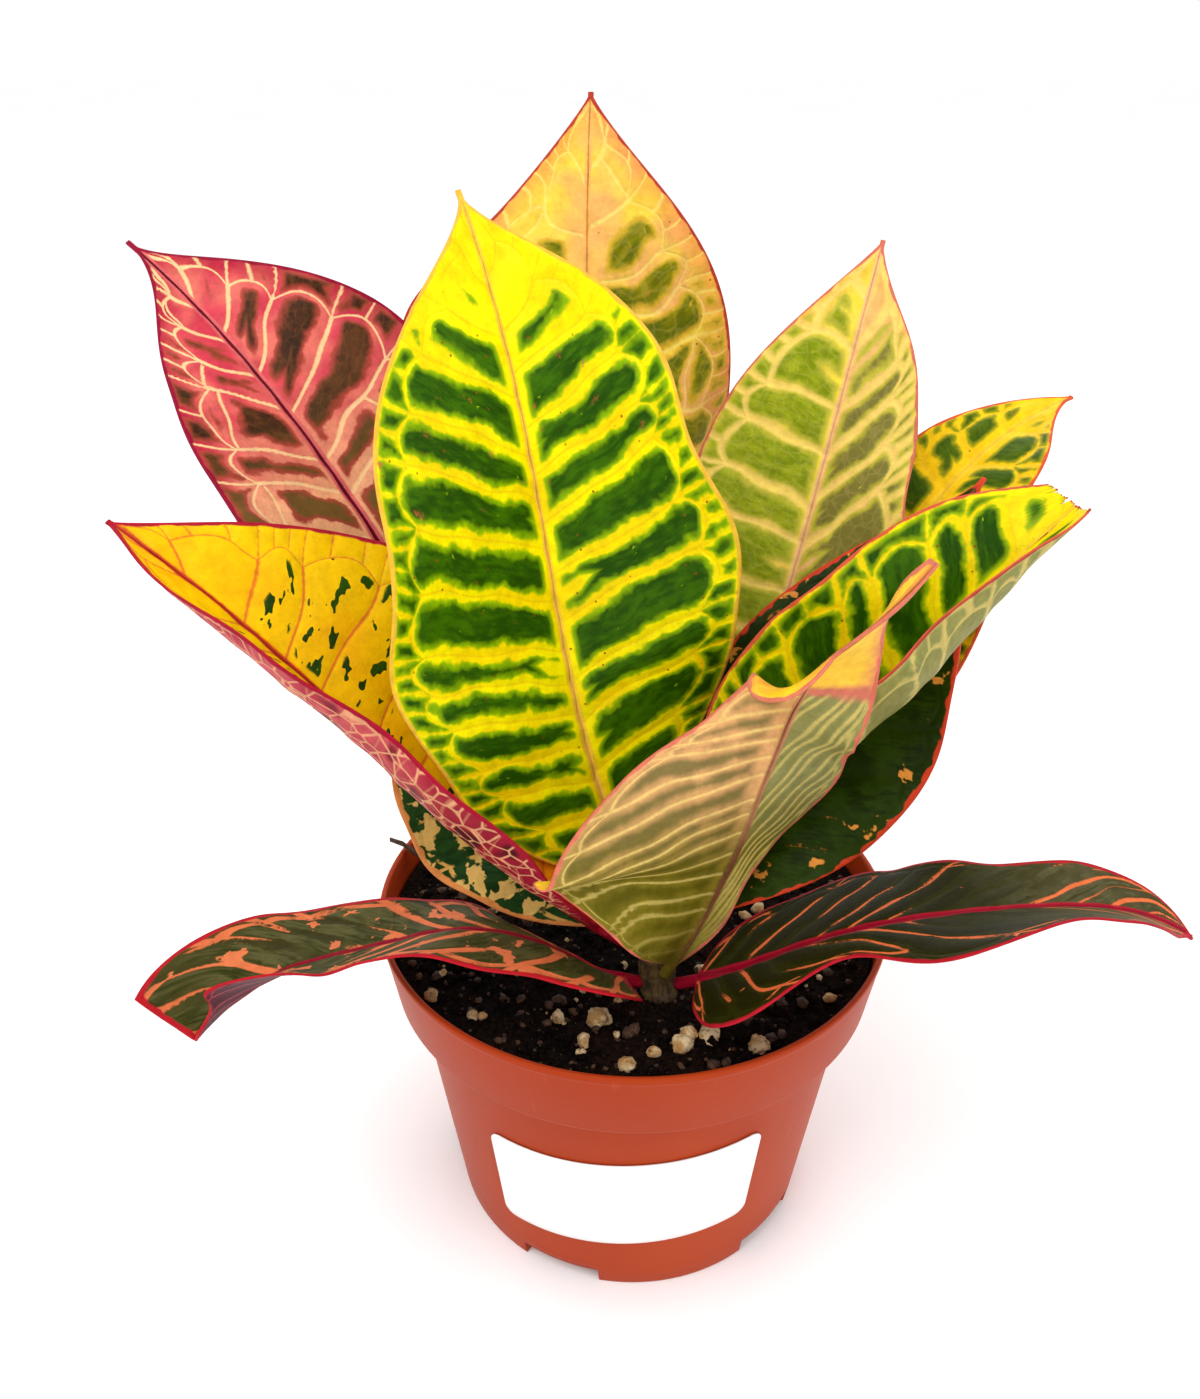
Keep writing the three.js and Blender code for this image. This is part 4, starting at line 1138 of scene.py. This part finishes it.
# Stem
STEM_HEIGHTS = np.concatenate([np.linspace(40.5, 66, 8), np.linspace(66.5, 92.6, 80)])
STEM_TOP = 93
STEM_TIP = 5  # length of the rounded end
STEM_SIDES = 28
SCAR_HEIGHT = 0.22  # of the ridge under each stalk


def make_stem(material):
    scars = [shape["attach"] for shape in LEAVES.values()]
    points = []
    for height in STEM_HEIGHTS:
        tip = math.sqrt(max(0.02, min(1, (STEM_TOP - height) / STEM_TIP)))
        ridge = SCAR_HEIGHT * max(math.exp(-(((height - scar + 1.4) / 0.5) ** 2)) for scar in scars)
        for x, y in zip(*ring(STEM_SIDES)):
            rough = 0.12 * noise.noise(Vector((x * 2, y * 2, height * 0.5)))
            radius = (stem_radius(height) + ridge + rough) * tip
            points.append(stem_axis(height) + radius * np.array([x, y, 0]))
    index = np.arange(len(points)).reshape(-1, STEM_SIDES)
    return add_mesh("stem_look", points, tube_faces(index), [material])


def keep(piece, node):
    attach(piece, "root")
    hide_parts(node)


for number, (name, shape) in enumerate(LEAVES.items(), 1):
    upper = {**PLAIN_LOOK, **LOOKS[name]}
    shared = {key: value for key, value in LOOKS[name].items() if key not in ONLY_ABOVE}
    under = {**PLAIN_LOOK, **shared, **UNDERSIDES.get(name, UNDER_PLAIN)}
    papers = [leaf_paint(name + "_upper", upper), leaf_paint(name + "_under", under)]
    keep(make_leaf(name, shape, upper, number, papers), name)

keep(make_pot(pot_paint()), "pot")
keep(make_label(label_paint()), "label")
soil_materials = [soil_paint(), lump_paint(), bark_paint("bark_bits", "#543824", "#281a12")]
keep(make_soil(soil_materials), "soil")
# The stem's colours are its own olive brown darkened with painted shade, the shade of the leaf bases over
# it.
keep(make_stem(bark_paint("stem", "#56421e", "#2e1e12")), "stem")

# Floor and light
FLOOR_REACH = 9000
FLOOR_HEIGHT = -0.05
AIM = (0, 0, 0.12)
LIGHTS = {  # place, size, power
    "key": ((-0.4, -0.5, 1.1), 0.6, 5),
    "fill": ((0.8, -0.5, 0.5), 0.8, 1.5),
    "back": ((0.2, 0.9, 0.8), 0.8, 2.5),
}
CAMERA_PLACE = (-0.0069, -0.2027, 0.2317)
CAMERA_DIP = 28.875
CAMERA_LENS = 30.88

paint = Paint("floor")
white, near_white = (1.0, 1.0, 1.0, 1.0), (0.99, 0.99, 0.99, 1.0)
pale = paint.mix(white, near_white, paint.noise(paint.place(), 3.0).step(0.3, 0.7))
corners = [(x, y, FLOOR_HEIGHT) for x in (-FLOOR_REACH, FLOOR_REACH) for y in (-FLOOR_REACH, FLOOR_REACH)]
floor = add_mesh("floor", corners, [(0, 2, 3, 1)], [paint.finish(pale, 0.8, 0.0)])

scene = bpy.context.scene
world = bpy.data.worlds.new("studio")
world.use_nodes = True
world.node_tree.nodes["Background"].inputs["Color"].default_value = white
world.node_tree.nodes["Background"].inputs["Strength"].default_value = 1.0
scene.world = world
scene.view_settings.view_transform = "Standard"

for name, (place, size, power) in LIGHTS.items():
    data = bpy.data.lights.new(name, "AREA")
    data.shape = "DISK"
    data.size = size
    data.energy = power
    lamp = bpy.data.objects.new(name, data)
    lamp.location = place
    lamp.rotation_euler = (Vector(AIM) - Vector(place)).to_track_quat("-Z", "Y").to_euler()
    scene.collection.objects.link(lamp)

camera_data = bpy.data.cameras.new("camera")
camera_data.sensor_width = 36
camera_data.sensor_fit = "AUTO"
camera_data.lens = CAMERA_LENS
camera = bpy.data.objects.new("camera", camera_data)
camera.location = CAMERA_PLACE
camera.rotation_euler = (math.radians(90 - CAMERA_DIP), 0, 0)
scene.collection.objects.link(camera)
scene.camera = camera
